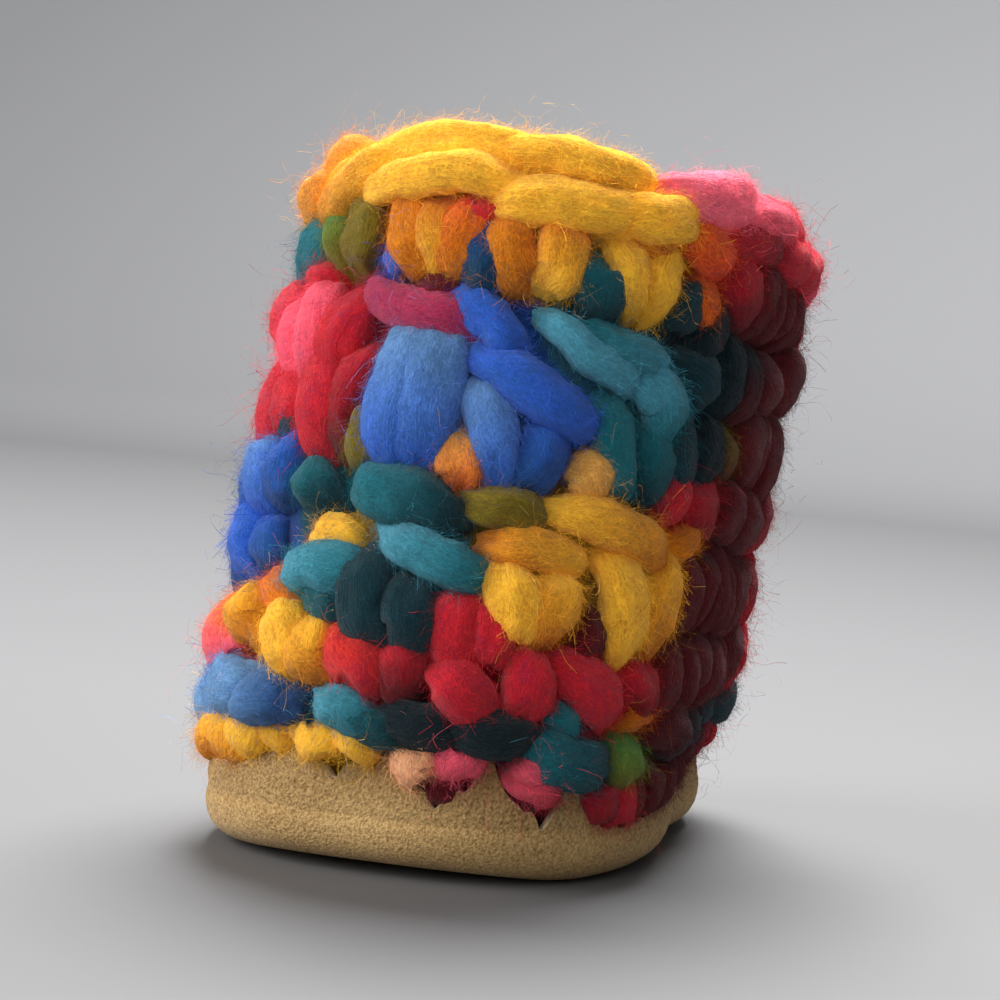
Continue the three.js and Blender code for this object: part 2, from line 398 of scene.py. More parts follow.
class GeometryTree:
    """A geometry node tree with named inputs, which is run on an object and leaves a plain mesh."""

    def __init__(self, name: str) -> None:
        """Starts a tree that has a geometry input and output.

        Args:
            name: The tree's name.
        """
        self.tree = bpy.data.node_groups.new(name, "GeometryNodeTree")
        self.nodes = Nodes(self.tree)
        self.identifiers: dict[str, str] = {}
        self.tree.interface.new_socket("Geometry", in_out="INPUT", socket_type="NodeSocketGeometry")
        self.tree.interface.new_socket("Geometry", in_out="OUTPUT", socket_type="NodeSocketGeometry")
        self.start = self.nodes.add("NodeGroupInput")

    def size(self, name: str, kind: str) -> bpy.types.NodeSocket:
        """Adds a named input.

        Args:
            name: The input's name.
            kind: Its socket type, such as Float.

        Returns:
            The socket that carries it.
        """
        item = self.tree.interface.new_socket(name, in_out="INPUT", socket_type=f"NodeSocket{kind}")
        self.identifiers[name] = item.identifier
        return self.start.outputs[name]

    def attribute(self, name: str, kind: str = "FLOAT") -> bpy.types.NodeSocket:
        """The value of a named attribute."""
        node = self.nodes.add("GeometryNodeInputNamedAttribute", {"Name": name}, data_type=kind)
        return node.outputs["Attribute"]

    def store(self, geometry: Any, name: str, value: Any, kind: str) -> bpy.types.NodeSocket:
        """Stores a named attribute on a geometry's points.

        Args:
            geometry: The geometry.
            name: The attribute's name.
            value: Its value.
            kind: Its data type.

        Returns:
            The geometry with the attribute.
        """
        node = self.nodes.add("GeometryNodeStoreNamedAttribute", data_type=kind, domain="POINT")
        node.inputs["Name"].default_value = name
        self.tree.links.new(geometry, node.inputs["Geometry"])
        self.tree.links.new(value, node.inputs["Value"])
        return node.outputs["Geometry"]

    def end(self, geometry: bpy.types.NodeSocket) -> None:
        """Realizes the instances, sets the material and closes the tree.

        Args:
            geometry: What the tree has made.
        """
        material = self.size("Material", "Material")
        whole = self.nodes.add("GeometryNodeRealizeInstances", {"Geometry": geometry})
        parts = {"Geometry": whole.outputs[0], "Material": material}
        dressed = self.nodes.add("GeometryNodeSetMaterial", parts)
        self.nodes.add("NodeGroupOutput", {"Geometry": dressed.outputs[0]})

    def run(self, obj: bpy.types.Object, name: str, sizes: dict[str, Any]) -> bpy.types.Object:
        """Runs the tree on an object.

        Args:
            obj: The object, which is removed afterwards.
            name: The new piece's name.
            sizes: A value for each named input.

        Returns:
            The new piece, a plain mesh.
        """
        modifier = obj.modifiers.new(self.tree.name, "NODES")
        modifier.node_group = self.tree
        for key, value in sizes.items():
            modifier[self.identifiers[key]] = value
        view = bpy.context.evaluated_depsgraph_get()
        mesh = bpy.data.meshes.new_from_object(obj.evaluated_get(view), depsgraph=view)
        obj.modifiers.remove(modifier)
        bpy.data.objects.remove(obj)
        mesh.name = name
        return new_object(name, mesh)


def new_object(name: str, mesh: bpy.types.Mesh) -> bpy.types.Object:
    """Links a mesh into the scene as an object at the origin.

    Args:
        name: The object's name.
        mesh: The mesh.

    Returns:
        The object.
    """
    obj = bpy.data.objects.new(name, mesh)
    bpy.context.scene.collection.objects.link(obj)
    return obj


class StrandTree(GeometryTree):
    """Turns lines of points into soft strands with grooves along them."""

    def __init__(self) -> None:
        """Builds the tree."""
        super().__init__("Wool strands")
        sides = self.size("Sides", "Int")
        rings = self.size("Rings", "Int")
        flatness = self.size("Flatness", "Float")
        groove = self.size("Groove Depth", "Float")
        lump = self.size("Lump Depth", "Float")
        add = self.nodes.add
        lines = add("GeometryNodeMeshToCurve", {"Mesh": self.start.outputs["Geometry"]})
        smooth = add("GeometryNodeCurveSplineType", {"Curve": lines.outputs[0]}, spline_type="CATMULL_ROM")
        even = add("GeometryNodeResampleCurve", {"Curve": smooth.outputs[0], "Count": rings}, mode="COUNT")
        turned = add(
            "GeometryNodeSetCurveNormal",
            {"Curve": even.outputs[0], "Normal": self.attribute("strand_normal", "FLOAT_VECTOR")},
            mode="FREE",
        )
        tangent = add("GeometryNodeInputTangent").outputs[0]
        along = add("GeometryNodeSplineParameter").outputs["Length"]
        curve = self.store(turned.outputs[0], "strand_tangent", tangent, "FLOAT_VECTOR")
        curve = self.store(curve, "strand_along", along, "FLOAT")
        circle = add("GeometryNodeCurvePrimitiveCircle", {"Resolution": sides, "Radius": 1.0}, mode="RADIUS")
        spot = add("GeometryNodeInputPosition").outputs[0]
        ring = self.store(circle.outputs[0], "strand_ring", spot, "FLOAT_VECTOR")
        squash = add("ShaderNodeCombineXYZ", {0: flatness, 1: 1.0, 2: 1.0}).outputs[0]
        oval = add("GeometryNodeTransform", {"Geometry": ring, "Scale": squash})
        swept = add(
            "GeometryNodeCurveToMesh",
            {
                "Curve": curve,
                "Profile Curve": oval.outputs[0],
                "Scale": self.attribute("strand_radius"),
                "Fill Caps": True,
            },
        )
        grooved = self.pushed(swept.outputs[0], groove, round_scale=1.7, along_scale=40.0, detail=3.0)
        lumpy = self.pushed(grooved, lump, round_scale=0.7, along_scale=190.0, detail=2.0)
        soft = add("GeometryNodeSetShadeSmooth", {"Geometry": lumpy})
        self.end(soft.outputs[0])

    def pushed(
        self, mesh: Any, depth: Any, round_scale: float, along_scale: float, detail: float
    ) -> bpy.types.NodeSocket:
        """Moves a strand's skin in and out by noise that follows the strand.

        Args:
            mesh: The strand.
            depth: How far it moves, from the deepest to the highest place.
            round_scale: How fast the noise changes round the strand.
            along_scale: How fast it changes along the strand, for each metre.
            detail: The noise's detail.

        Returns:
            The moved mesh.
        """
        add = self.nodes.add
        ring = add("ShaderNodeSeparateXYZ", {0: self.attribute("strand_ring", "FLOAT_VECTOR")}).outputs
        along = self.nodes.math("MULTIPLY", self.attribute("strand_along"), along_scale)
        along = self.nodes.math("ADD", along, self.attribute("strand_number"))
        across = [self.nodes.math("MULTIPLY", ring[k], round_scale) for k in (0, 1)]
        spot = add("ShaderNodeCombineXYZ", {0: across[0], 1: across[1], 2: along}).outputs[0]
        centred = self.nodes.math("SUBTRACT", self.nodes.noise(spot, 1.0, detail), 0.5)
        far = self.nodes.math("MULTIPLY", centred, depth)
        normal = add("GeometryNodeInputNormal").outputs[0]
        moved = add("GeometryNodeSetPosition", {"Geometry": mesh, "Offset": self.nodes.scaled(normal, far)})
        return moved.outputs[0]


@dataclass(frozen=True)
class FibreForm:
    """One kind of loose fibre, a ribbon, in millimetres.

    density is to the square millimetre. rise is how steeply a fibre may stand up and spread how far it may
    turn from its strand, in radians. paleness is the greatest share of its paler colour, a painted
    highlight for fibres that catch the light. wave is how fast the noise that curls it changes, for each
    metre, bend its share of the curl, and joints its points.
    """

    name: str
    density: float
    length: float
    width: float
    rise: float
    spread: float
    paleness: float
    wave: float
    bend: float
    joints: int

    def sizes(self) -> dict[str, float]:
        """The fibre's values for the tree's named inputs.

        Returns:
            The values, by input.
        """
        values = {
            "Density": self.density / MM**2,
            "Length": self.length * MM,
            "Width": self.width * MM,
            "Rise": self.rise,
            "Spread": self.spread,
            "Paleness": self.paleness,
        }
        return {f"{self.name} {key}": value for key, value in values.items()}


class FibreTree(GeometryTree):
    """Scatters curled fibres over strands. Each random seed is a node's number, so the order matters.

    Fibres stay floor_gap above the floor. A strand with a nap over full_nap is a charted one. A ribbon is
    shifted by a share of its length, so that its root is in the strand, and scaled between two bounds.
    """

    floor_gap = 0.4 * MM
    full_nap = 0.99
    shift = 0.42
    scales = (0.45, 1.3)
    most_numbers = 500.0

    def __init__(self, forms: tuple[FibreForm, ...]) -> None:
        """Builds the tree.

        Args:
            forms: The kinds of fibre.
        """
        super().__init__("Wool fibres")
        seed = self.size("Seed", "Int")
        curl = self.size("Curl", "Float")
        roots = self.start.outputs["Geometry"]
        ring = self.nodes.add("ShaderNodeSeparateXYZ", {0: self.attribute("strand_ring", "FLOAT_VECTOR")})
        outer = self.nodes.math("GREATER_THAN", ring.outputs[0], 0.0)
        charted = self.nodes.math("GREATER_THAN", self.attribute("strand_nap"), self.full_nap)
        wanted = self.nodes.math("COMPARE", charted, self.size("Charted", "Float"))
        outer = self.nodes.math("MULTIPLY", outer, wanted)
        bunches = []
        for form in forms:
            names = [f"{form.name} {key}" for key in ("Width", "Density", "Length", "Rise", "Spread")]
            width, density, length, rise, spread = [self.size(name, "Float") for name in names]
            # Painted highlight: each fibre's share of its paler colour
            highlight = self.random(0.0, self.size(f"{form.name} Paleness", "Float"))
            density = self.nodes.math("MULTIPLY", density, self.attribute("strand_nap"))
            spots = self.scattered(roots, outer, density, seed)
            spots = (self.store(spots[0], "fibre_highlight", highlight, "FLOAT"), spots[1])
            fibres = self.laid(spots, (length, width, form.joints), rise, spread)
            bunches.append(self.curled(fibres, self.nodes.math("MULTIPLY", curl, form.bend), form.wave))
        both = self.nodes.add("GeometryNodeJoinGeometry")
        for bunch in bunches:
            self.tree.links.new(bunch, both.inputs[0])
        soft = self.nodes.add("GeometryNodeSetShadeSmooth", {"Geometry": both.outputs[0]})
        self.end(soft.outputs[0])

    def random(self, low: Any, high: Any, kind: str = "FLOAT") -> bpy.types.NodeSocket:
        """A random value for each point, with the tree's number of nodes as its seed.

        Args:
            low: The lower bound.
            high: The upper bound.
            kind: The value's data type.

        Returns:
            The value.
        """
        first = 0 if kind == "FLOAT_VECTOR" else 2
        node = self.nodes.add("FunctionNodeRandomValue", {first: low, first + 1: high}, data_type=kind)
        node.inputs["Seed"].default_value = len(self.tree.nodes)
        return node.outputs[0 if kind == "FLOAT_VECTOR" else 1]

    def scattered(self, mesh: Any, where: Any, density: Any, seed: Any) -> tuple[Any, Any]:
        """Points on a mesh.

        Args:
            mesh: The mesh.
            where: Which faces take points.
            density: How many points lie on a square metre.
            seed: The seed.

        Returns:
            The points and their normals.
        """
        inputs = {"Mesh": mesh, "Selection": where, "Density": density, "Seed": seed}
        node = self.nodes.add("GeometryNodeDistributePointsOnFaces", inputs, distribute_method="RANDOM")
        number = self.random(0.0, self.most_numbers)
        points = self.store(node.outputs["Points"], "fibre_number", number, "FLOAT")
        return points, node.outputs["Normal"]

    def laid(
        self, spots: tuple[Any, Any], form: tuple[Any, Any, int], rise: Any, spread: Any
    ) -> bpy.types.NodeSocket:
        """Lays a ribbon at each point, along its strand.

        Args:
            spots: The points and their normals.
            form: The ribbon's length, its width and its number of joints.
            rise: How steeply it may stand up, in radians.
            spread: How far it may turn from the strand, in radians.

        Returns:
            The ribbons.
        """
        add = self.nodes.add
        length, width, joints = form
        sizes = {"Size X": length, "Size Y": width, "Vertices X": joints, "Vertices Y": 2}
        ribbon = add("GeometryNodeMeshGrid", sizes).outputs[0]
        shift = add("ShaderNodeCombineXYZ", {0: self.nodes.math("MULTIPLY", length, self.shift)}).outputs[0]
        ribbon = add("GeometryNodeTransform", {"Geometry": ribbon, "Translation": shift}).outputs[0]
        spot = add("ShaderNodeSeparateXYZ", {0: add("GeometryNodeInputPosition").outputs[0]}).outputs[0]
        ribbon = self.store(ribbon, "fibre_reach", self.nodes.math("DIVIDE", spot, length), "FLOAT")
        axes = add(
            "FunctionNodeAxesToRotation",
            {"Primary Axis": spots[1], "Secondary Axis": self.attribute("strand_tangent", "FLOAT_VECTOR")},
            primary_axis="Z",
            secondary_axis="X",
        )
        steep = self.nodes.math("MULTIPLY", rise, -1.0)
        back = self.nodes.math("MULTIPLY", spread, -1.0)
        low = add("ShaderNodeCombineXYZ", {0: -math.pi / 2, 1: steep, 2: back}).outputs[0]
        high = add("ShaderNodeCombineXYZ", {0: math.pi / 2, 1: 0.0, 2: spread}).outputs[0]
        turn = add("FunctionNodeEulerToRotation", {0: self.random(low, high, "FLOAT_VECTOR")})
        both = add(
            "FunctionNodeRotateRotation",
            {"Rotation": axes.outputs[0], "Rotate By": turn.outputs[0]},
            rotation_space="LOCAL",
        )
        placed = add(
            "GeometryNodeInstanceOnPoints",
            {
                "Points": spots[0],
                "Instance": ribbon,
                "Rotation": both.outputs[0],
                "Scale": self.random(*self.scales),
            },
        )
        return add("GeometryNodeRealizeInstances", {"Geometry": placed.outputs[0]}).outputs[0]

    def curled(self, fibres: Any, curl: Any, wave: float) -> bpy.types.NodeSocket:
        """Bends each fibre by a noise of its own, more towards its free end.

        Args:
            fibres: The ribbons.
            curl: How far the free end may move.
            wave: How fast the noise changes, for each metre.

        Returns:
            The bent ribbons.
        """
        add = self.nodes.add
        spot = add("GeometryNodeInputPosition").outputs[0]
        noise = add(
            "ShaderNodeTexNoise",
            {"Vector": spot, "W": self.attribute("fibre_number"), "Scale": wave, "Detail": 0.0},
            noise_dimensions="4D",
        )
        free = self.nodes.math("MAXIMUM", self.attribute("fibre_reach"), 0.0)
        way = self.nodes.vector("SUBTRACT", noise.outputs[1], (0.5, 0.5, 0.5))
        offset = self.nodes.scaled(way, self.nodes.math("MULTIPLY", curl, free))
        moved = self.nodes.vector("ADD", spot, offset)
        above = self.nodes.vector("MAXIMUM", moved, (-1.0, -1.0, self.floor_gap))
        return add("GeometryNodeSetPosition", {"Geometry": fibres, "Position": above}).outputs[0]


@dataclass
class Yarn:
    """The roving wool, and how a chart of strands becomes a mesh. Sizes are in millimetres.

    A strand is laid through a few points and runs past its charted ends by overrun, a share of its length.
    There it dives into the wall and thins to its tip. Its middle sways a little, each strand's in its own
    way. At the sole, a strand's foot is seated just above the nicked edge, unless its lift is under
    hidden_lift: then it shows only through a nick. A strand that drops by more than steep, a share of the
    wall's height, is a lobe and keeps at least the lobe's height. Strands there are more even by
    lobe_evenness.
    """

    last: Last
    sole: "Sole"
    points: int = 9
    dive: float = 3.8
    dive_curve: int = 3
    overrun: float = 0.13
    tip: float = 0.42
    taper: float = 2.5
    fullness: float = 1.1
    sway: float = 0.7
    sway_waves: float = 0.8
    sway_turn: float = 0.37
    number_step: float = 7.31
    sides: int = 26
    rings: int = 22
    coarse: int = 16
    flatness: float = 0.84
    groove: float = 1.7
    lump: float = 2.2
    seat: float = 0.4
    seat_reach: float = 0.16
    seat_samples: int = 9
    hidden_lift: float = -2.0
    lobe: float = 4.6
    steep: float = 0.04
    lobe_evenness: float = 0.35
    count: int = 0

    def lines(self, strands: list[Strand]) -> bpy.types.Object:
        """Lays each strand as a line of points with the attributes that its sweep needs.

        Args:
            strands: The chart.

        Returns:
            A mesh of lines.
        """
        t = np.linspace(-self.overrun, 1 + self.overrun, self.points)
        ends = np.abs(2 * np.linspace(0, 1, self.points) - 1)
        spots, normals, radii, tints, numbers, naps = [], [], [], [], [], []
        for strand in strands:
            self.count += 1
            waves = self.sway_waves * t + self.sway_turn * self.count
            drift = self.sway * np.sin(TAU * waves) * (1 - ends**2)
            stitch = between(strand.from_stitch, strand.to_stitch, t) + drift * self.last.stitch_share
            rise = between(*self.seated(strand), t) + strand.bow * (1 - ends**2)
            rise = rise + np.roll(drift, self.count) * self.last.rise_share
            angle = self.last.angle_at(stitch)
            radius = self.fullness * strand.width / 2 * (1 - (1 - self.tip) * ends**self.taper)
            out = strand.lift - strand.sink * self.dive * ends**self.dive_curve
            spots.append(self.last.place(stitch, rise, out))
            normals.append(self.last.normal(angle, rise))
            radii.append(radius)
            first = np.array(strand.tint.colour)
            final = np.array((strand.tint_end or strand.tint).colour)
            tints.append(between(first, final, np.clip(t, 0, 1)[:, None]))
            numbers.append(np.full(self.points, self.number_step * self.count))
            naps.append(np.full(self.points, strand.nap))
        total = len(strands) * self.points
        edges = [(k, k + 1) for k in range(total - 1) if (k + 1) % self.points]
        mesh = bpy.data.meshes.new("strand lines")
        mesh.from_pydata(np.concatenate(spots) * MM, edges, [])
        self.write(mesh, "strand_normal", "FLOAT_VECTOR", "vector", np.concatenate(normals))
        self.write(mesh, "strand_radius", "FLOAT", "value", np.concatenate(radii) * MM)
        self.write(mesh, "strand_number", "FLOAT", "value", np.concatenate(numbers))
        self.write(mesh, "strand_nap", "FLOAT", "value", np.concatenate(naps))
        self.write(mesh, "wool_tint", "FLOAT_COLOR", "color", np.concatenate(tints))
        return new_object("strand lines", mesh)

    def seated(self, strand: Strand) -> tuple[float, float]:
        """Where a strand starts and ends, moved up onto the sole's edge.

        Args:
            strand: The strand.

        Returns:
            The rise at its start and at its end.
        """
        if strand.sink < 0 or strand.lift < self.hidden_lift:
            return strand.from_rise, strand.to_rise
        near = strand.to_stitch + np.linspace(-self.seat_reach, self.seat_reach, self.seat_samples)
        low = self.sole.edge_height(near).mean() + self.seat - self.last.foot
        foot = max(strand.to_rise, low * self.last.rise_share)
        if strand.from_rise - strand.to_rise < self.steep:
            return strand.from_rise + foot - strand.to_rise, foot
        return max(strand.from_rise, foot + self.lobe * self.last.rise_share), foot

    @staticmethod
    def write(mesh: bpy.types.Mesh, name: str, kind: str, key: str, values: np.ndarray) -> None:
        """Writes a point attribute on a mesh.

        Args:
            mesh: The mesh.
            name: The attribute's name.
            kind: Its data type.
            key: The property of its items that takes the values.
            values: A value, or a row of values, for each point.
        """
        layer = mesh.attributes.new(name, kind, "POINT")
        layer.data.foreach_set(key, np.ascontiguousarray(values, np.float32).ravel())

    def piece(
        self, part: Part, strands: list[Strand], tree: StrandTree, skin: bpy.types.Material
    ) -> bpy.types.Object:
        """Makes one piece of a chart of strands.

        Args:
            part: The round.
            strands: Its chart.
            tree: The tree that sweeps strands.
            skin: The wool's material.

        Returns:
            The piece.
        """
        hidden = part is Part.INSIDE
        evenness = self.lobe_evenness if part is Part.EDGE else 1.0
        sizes = {
            "Sides": self.coarse if hidden else self.sides,
            "Rings": self.coarse if hidden else self.rings,
            "Flatness": self.flatness,
            "Groove Depth": self.groove * evenness * MM,
            "Lump Depth": self.lump * evenness * MM,
            "Material": skin,
        }
        return tree.run(self.lines(strands), f"wool_{part.value}", sizes)


class Finish:
    """What every finish shares: a principled shader in a node tree of its own."""

    def shader(
        self, name: str, constants: dict[str, float]
    ) -> tuple[bpy.types.Material, Nodes, bpy.types.Node]:
        """Starts a material.

        Args:
            name: The material's name.
            constants: Values that are the same all over, by the shader's socket.

        Returns:
            The material, its nodes and its shader.
        """
        material = bpy.data.materials.new(name)
        material.use_nodes = True
        material.node_tree.nodes.clear()
        nodes = Nodes(material.node_tree)
        surface = nodes.add("ShaderNodeBsdfPrincipled")
        nodes.add("ShaderNodeOutputMaterial", {"Surface": surface.outputs[0]})
        for socket, value in constants.items():
            surface.inputs[socket].default_value = value
        return material, nodes, surface

    def cover(
        self, nodes: Nodes, surface: bpy.types.Node, colour: Any, height: Any, strength: Any, depth: float
    ) -> None:
        """Gives a shader its colour and its bump.

        Args:
            nodes: The material's nodes.
            surface: The shader.
            colour: Its colour.
            height: The bump's height, from 0 to 1.
            strength: The bump's strength.
            depth: The bump's depth, in millimetres.
        """
        nodes.tree.links.new(colour, surface.inputs["Base Color"])
        sizes = {"Strength": strength, "Distance": depth * MM, "Height": height}
        bump = nodes.add("ShaderNodeBump", sizes)
        nodes.tree.links.new(bump.outputs[0], surface.inputs["Normal"])


@dataclass(frozen=True)
class WoolFinish(Finish):
    """Soft matte wool, streaked along the strand, with fine bright hairs.

    streak, mottle and hair tell how far each changes the brightness, and hue how far dark places turn in
    hue. fineness is how fast the streaks change round a strand and run how fast they change along it, for
    each metre. hair_forms holds how close each set of hairs lies and how thin they are, and hair_base is
    the share of the hairs' brightness that the wool between them loses.
    """

    streak: float = 0.24
    mottle: float = 0.3
    hair: float = 0.36
    hue: float = 0.05
    sheen: float = 0.18
    bump: float = 0.7
    bump_depth: float = 0.4
    fineness: float = 7.0
    run: float = 90.0
    streak_scale: float = 1.4
    streak_swirl: float = 2.2
    hair_fineness: float = 3.4
    hair_run: float = 500.0
    hair_forms: tuple[tuple[float, float], ...] = ((1.0, 22.0), (1.7, 17.0))
    hair_base: float = 0.2
    cloud_scale: float = 260.0
    fuzz_scale: float = 2600.0
    fuzz_share: float = 0.6

    def spot(self, nodes: Nodes, fineness: float, run: float) -> bpy.types.NodeSocket:
        """A place on a strand, which no other strand shares.

        Args:
            nodes: The material's nodes.
            fineness: How fast it changes round the strand.
            run: How fast it changes along the strand, for each metre.

        Returns:
            The place.
        """
        number = nodes.own("strand_number", "Fac")
        along = nodes.math("MULTIPLY_ADD", nodes.own("strand_along", "Fac"), run, number)
        far = nodes.add("ShaderNodeCombineXYZ", {2: along}).outputs[0]
        return nodes.vector("ADD", nodes.scaled(nodes.own("strand_ring", "Vector"), fineness), far)

    def hairs(
        self, nodes: Nodes, spot: bpy.types.NodeSocket, scale: float, thin: float
    ) -> bpy.types.NodeSocket:
        """Fine curled lines, where a noise crosses its middle.

        Args:
            nodes: The material's nodes.
            spot: The place on the strand.
            scale: How close the lines lie.
            thin: How thin they are.

        Returns:
            A number that is 1 on a line and 0 off it.
        """
        off = nodes.math("ABSOLUTE", nodes.math("SUBTRACT", nodes.noise(spot, scale, 1.0), 0.5))
        return nodes.math("MAXIMUM", nodes.math("MULTIPLY_ADD", off, -thin, 1.0), 0.0)

    def material(self) -> bpy.types.Material:
        """Makes the material, which reads the strand's own attributes.

        Returns:
            The material.
        """
        constants = {"Sheen Weight": self.sheen, "Sheen Roughness": 0.6}
        constants |= {"Roughness": 1.0, "Specular IOR Level": 0.05}
        material, nodes, surface = self.shader("roving wool", constants)
        spot = self.spot(nodes, self.fineness, self.run)
        streak = nodes.noise(spot, self.streak_scale, 3.0, self.streak_swirl)
        spot = self.spot(nodes, self.hair_fineness, self.hair_run)
        hair = nodes.math("MAXIMUM", *[self.hairs(nodes, spot, *form) for form in self.hair_forms])
        where = nodes.add("ShaderNodeTexCoord").outputs["Object"]
        cloud = nodes.noise(where, self.cloud_scale, 2.0)
        fuzz = nodes.noise(where, self.fuzz_scale, 1.0)
        bright = nodes.math("MULTIPLY_ADD", streak, 2 * self.streak, 1 - self.streak)
        cloudy = nodes.math("MULTIPLY_ADD", cloud, 2 * self.mottle, 1 - self.mottle)
        haired = nodes.math("MULTIPLY_ADD", hair, self.hair, 1 - self.hair_base * self.hair)
        shade = nodes.math("MULTIPLY", nodes.math("MULTIPLY", bright, cloudy), haired)
        dim = nodes.math("MINIMUM", shade, 1.0)
        turn = nodes.math("MULTIPLY_ADD", dim, self.hue, 0.5 - self.hue)
        tint = nodes.own("wool_tint", "Color")
        hued = nodes.add("ShaderNodeHueSaturation", {"Hue": turn, "Color": tint}).outputs[0]
        height = nodes.math("MULTIPLY_ADD", fuzz, self.fuzz_share, streak)
        self.cover(nodes, surface, nodes.scaled(hued, shade), height, self.bump, self.bump_depth)
        return material


@dataclass(frozen=True)
class FibreFinish(Finish):
    """Single fibres. The paler ones, a painted highlight, have the strand's colour times highlight_gain,
    plus highlight_haze.
    """

    highlight_gain: float = 1.65
    highlight_haze: tuple[float, float, float] = (0.05, 0.048, 0.045)

    def material(self) -> bpy.types.Material:
        """Makes the material, which reads the strand's colour and the fibre's share of painted highlight.

        Returns:
            The material.
        """
        material, nodes, surface = self.shader("wool fibre", {"Roughness": 1.0, "Specular IOR Level": 0.05})
        tint = nodes.own("wool_tint", "Color")
        # Painted highlight: paler fibres stand for fibres that catch the light
        light = nodes.vector("ADD", nodes.scaled(tint, self.highlight_gain), self.highlight_haze)
        paler = nodes.mixed(nodes.own("fibre_highlight", "Fac"), tint, light)
        nodes.tree.links.new(paler, surface.inputs["Base Color"])
        return material


@dataclass(frozen=True)
class SuedeFinish(Finish):
    """Napped tan suede, paler where it is cut.

    Its nap is grain less crumb, and a cloud changes its colour slowly. Low down, from smooth_high to
    smooth_low in millimetres, its bump falls to smooth, and it is paler by bounce_light_share: painted
    light for the light that the floor bounces onto the cup.
    """

    dark: tuple[float, str] = (0.2, "7c5a2e")
    light: tuple[float, str] = (0.85, "cca870")
    cut: str = "dcc89c"
    grain_scale: float = 2100.0
    grain_share: float = 1.2
    crumb_scale: float = 2700.0
    crumb_share: float = 0.45
    cloud_scale: float = 70.0
    cloud_share: float = 0.5
    nap_share: float = 0.9
    depth: float = 0.3
    smooth: float = 0.55
    smooth_low: float = 3.0
    smooth_high: float = 11.0
    bounce_light_share: float = 0.9

    def material(self) -> bpy.types.Material:
        """Makes the material, which reads object coordinates and the cut edge's attribute.

        Returns:
            The material.
        """
        constants = {"Sheen Weight": 0.12, "Sheen Roughness": 0.5}
        constants |= {"Roughness": 0.95, "Specular IOR Level": 0.2}
        material, nodes, surface = self.shader("suede", constants)
        where = nodes.add("ShaderNodeTexCoord").outputs["Object"]
        grain = nodes.math("MULTIPLY", nodes.noise(where, self.grain_scale, 3.0), self.grain_share)
        crumb = nodes.add("ShaderNodeTexVoronoi", {"Vector": where, "Scale": self.crumb_scale})
        hollow = nodes.math("MULTIPLY", crumb.outputs["Distance"], self.crumb_share)
        nap = nodes.math("SUBTRACT", grain, hollow)
        cloud = nodes.math("MULTIPLY", nodes.noise(where, self.cloud_scale, 3.0), self.cloud_share)
        tone = nodes.math("ADD", cloud, nodes.math("MULTIPLY", nap, self.nap_share))
        span = {
            "Value": nodes.add("ShaderNodeSeparateXYZ", {0: where}).outputs[2],
            "From Min": self.smooth_low * MM,
            "From Max": self.smooth_high * MM,
            "To Min": self.smooth,
            "To Max": 1.0,
        }
        rough = nodes.add("ShaderNodeMapRange", span).outputs[0]
        # Painted light: paler low down, where the floor bounces light onto the cup
        paler = nodes.math("MULTIPLY_ADD", rough, -self.bounce_light_share, 1 + self.bounce_light_share)
        face = nodes.scaled(nodes.ramp(tone, (self.dark, self.light)), paler)
        colour = nodes.mixed(nodes.own("cut_edge", "Fac"), face, linear(self.cut))
        self.cover(nodes, surface, colour, nap, rough, self.depth)
        return material


@dataclass(frozen=True)
class FleeceFinish(Finish):
    """Cream fleece with small tufts."""

    dark: tuple[float, str] = (0.3, "b9a887")
    light: tuple[float, str] = (0.65, "efe5cf")
    tuft_scale: float = 500.0
    bump: float = 0.8
    bump_depth: float = 0.6

    def material(self) -> bpy.types.Material:
        """Makes the material, on object coordinates.

        Returns:
            The material.
        """
        material, nodes, surface = self.shader("fleece", {"Roughness": 1.0, "Sheen Weight": 0.4})
        tuft = nodes.noise(nodes.add("ShaderNodeTexCoord").outputs["Object"], self.tuft_scale, 5.0)
        colour = nodes.ramp(tuft, (self.dark, self.light))
        self.cover(nodes, surface, colour, tuft, self.bump, self.bump_depth)
        return material


@dataclass(frozen=True)
class FloorFinish(Finish):
    """A pale floor. Its tones, painted shade and light, are at places along Y, as shares of its reach in
    metres: darkest some way behind the slipper and paler towards the backdrop.
    """

    reach: float = 2.0
    painted_tones: tuple[tuple[float, str], ...] = ((0.05, "686869"), (0.3, "545455"), (0.65, "a0a0a2"))

    def material(self) -> bpy.types.Material:
        """Makes the material, which greys towards the backdrop.

        Returns:
            The material.
        """
        material, nodes, surface = self.shader("floor", {"Roughness": 0.7})
        where = nodes.add("ShaderNodeTexCoord").outputs["Object"]
        away = nodes.add("ShaderNodeSeparateXYZ", {0: where}).outputs[1]
        # Painted shade and light: the floor's tone changes with Y
        colour = nodes.ramp(nodes.math("DIVIDE", away, self.reach), self.painted_tones)
        nodes.tree.links.new(colour, surface.inputs["Base Color"])
        return material


def grid_mesh(name: str, rings: list[np.ndarray], closed: bool) -> bpy.types.Mesh:
    """A mesh from rings of points that go round the slipper.

    Args:
        name: The mesh's name.
        rings: The rings, in millimetres, joined in order.
        closed: Whether the last ring joins the first. If not, each end is filled by a fan.

    Returns:
        The mesh, in metres, smooth.
    """
    count = len(rings[0])
    points = list(np.concatenate(rings))
    faces: list[tuple[int, ...]] = []
    for r in range(len(rings) if closed else len(rings) - 1):
        low = r * count
        high = (r + 1) % len(rings) * count
        for c in range(count):
            d = (c + 1) % count
            faces.append((low + c, low + d, high + d, high + c))
    if not closed:
        for ring, row, turn in ((rings[0], 0, True), (rings[-1], (len(rings) - 1) * count, False)):
            points.append(ring.mean(axis=0))
            hub = len(points) - 1
            for c in range(count):
                d = (c + 1) % count
                faces.append((hub, row + d, row + c) if turn else (hub, row + c, row + d))
    mesh = bpy.data.meshes.new(name)
    mesh.from_pydata(np.array(points) * MM, [], faces)
    mesh.polygons.foreach_set("use_smooth", np.ones(len(faces), bool))
    return mesh


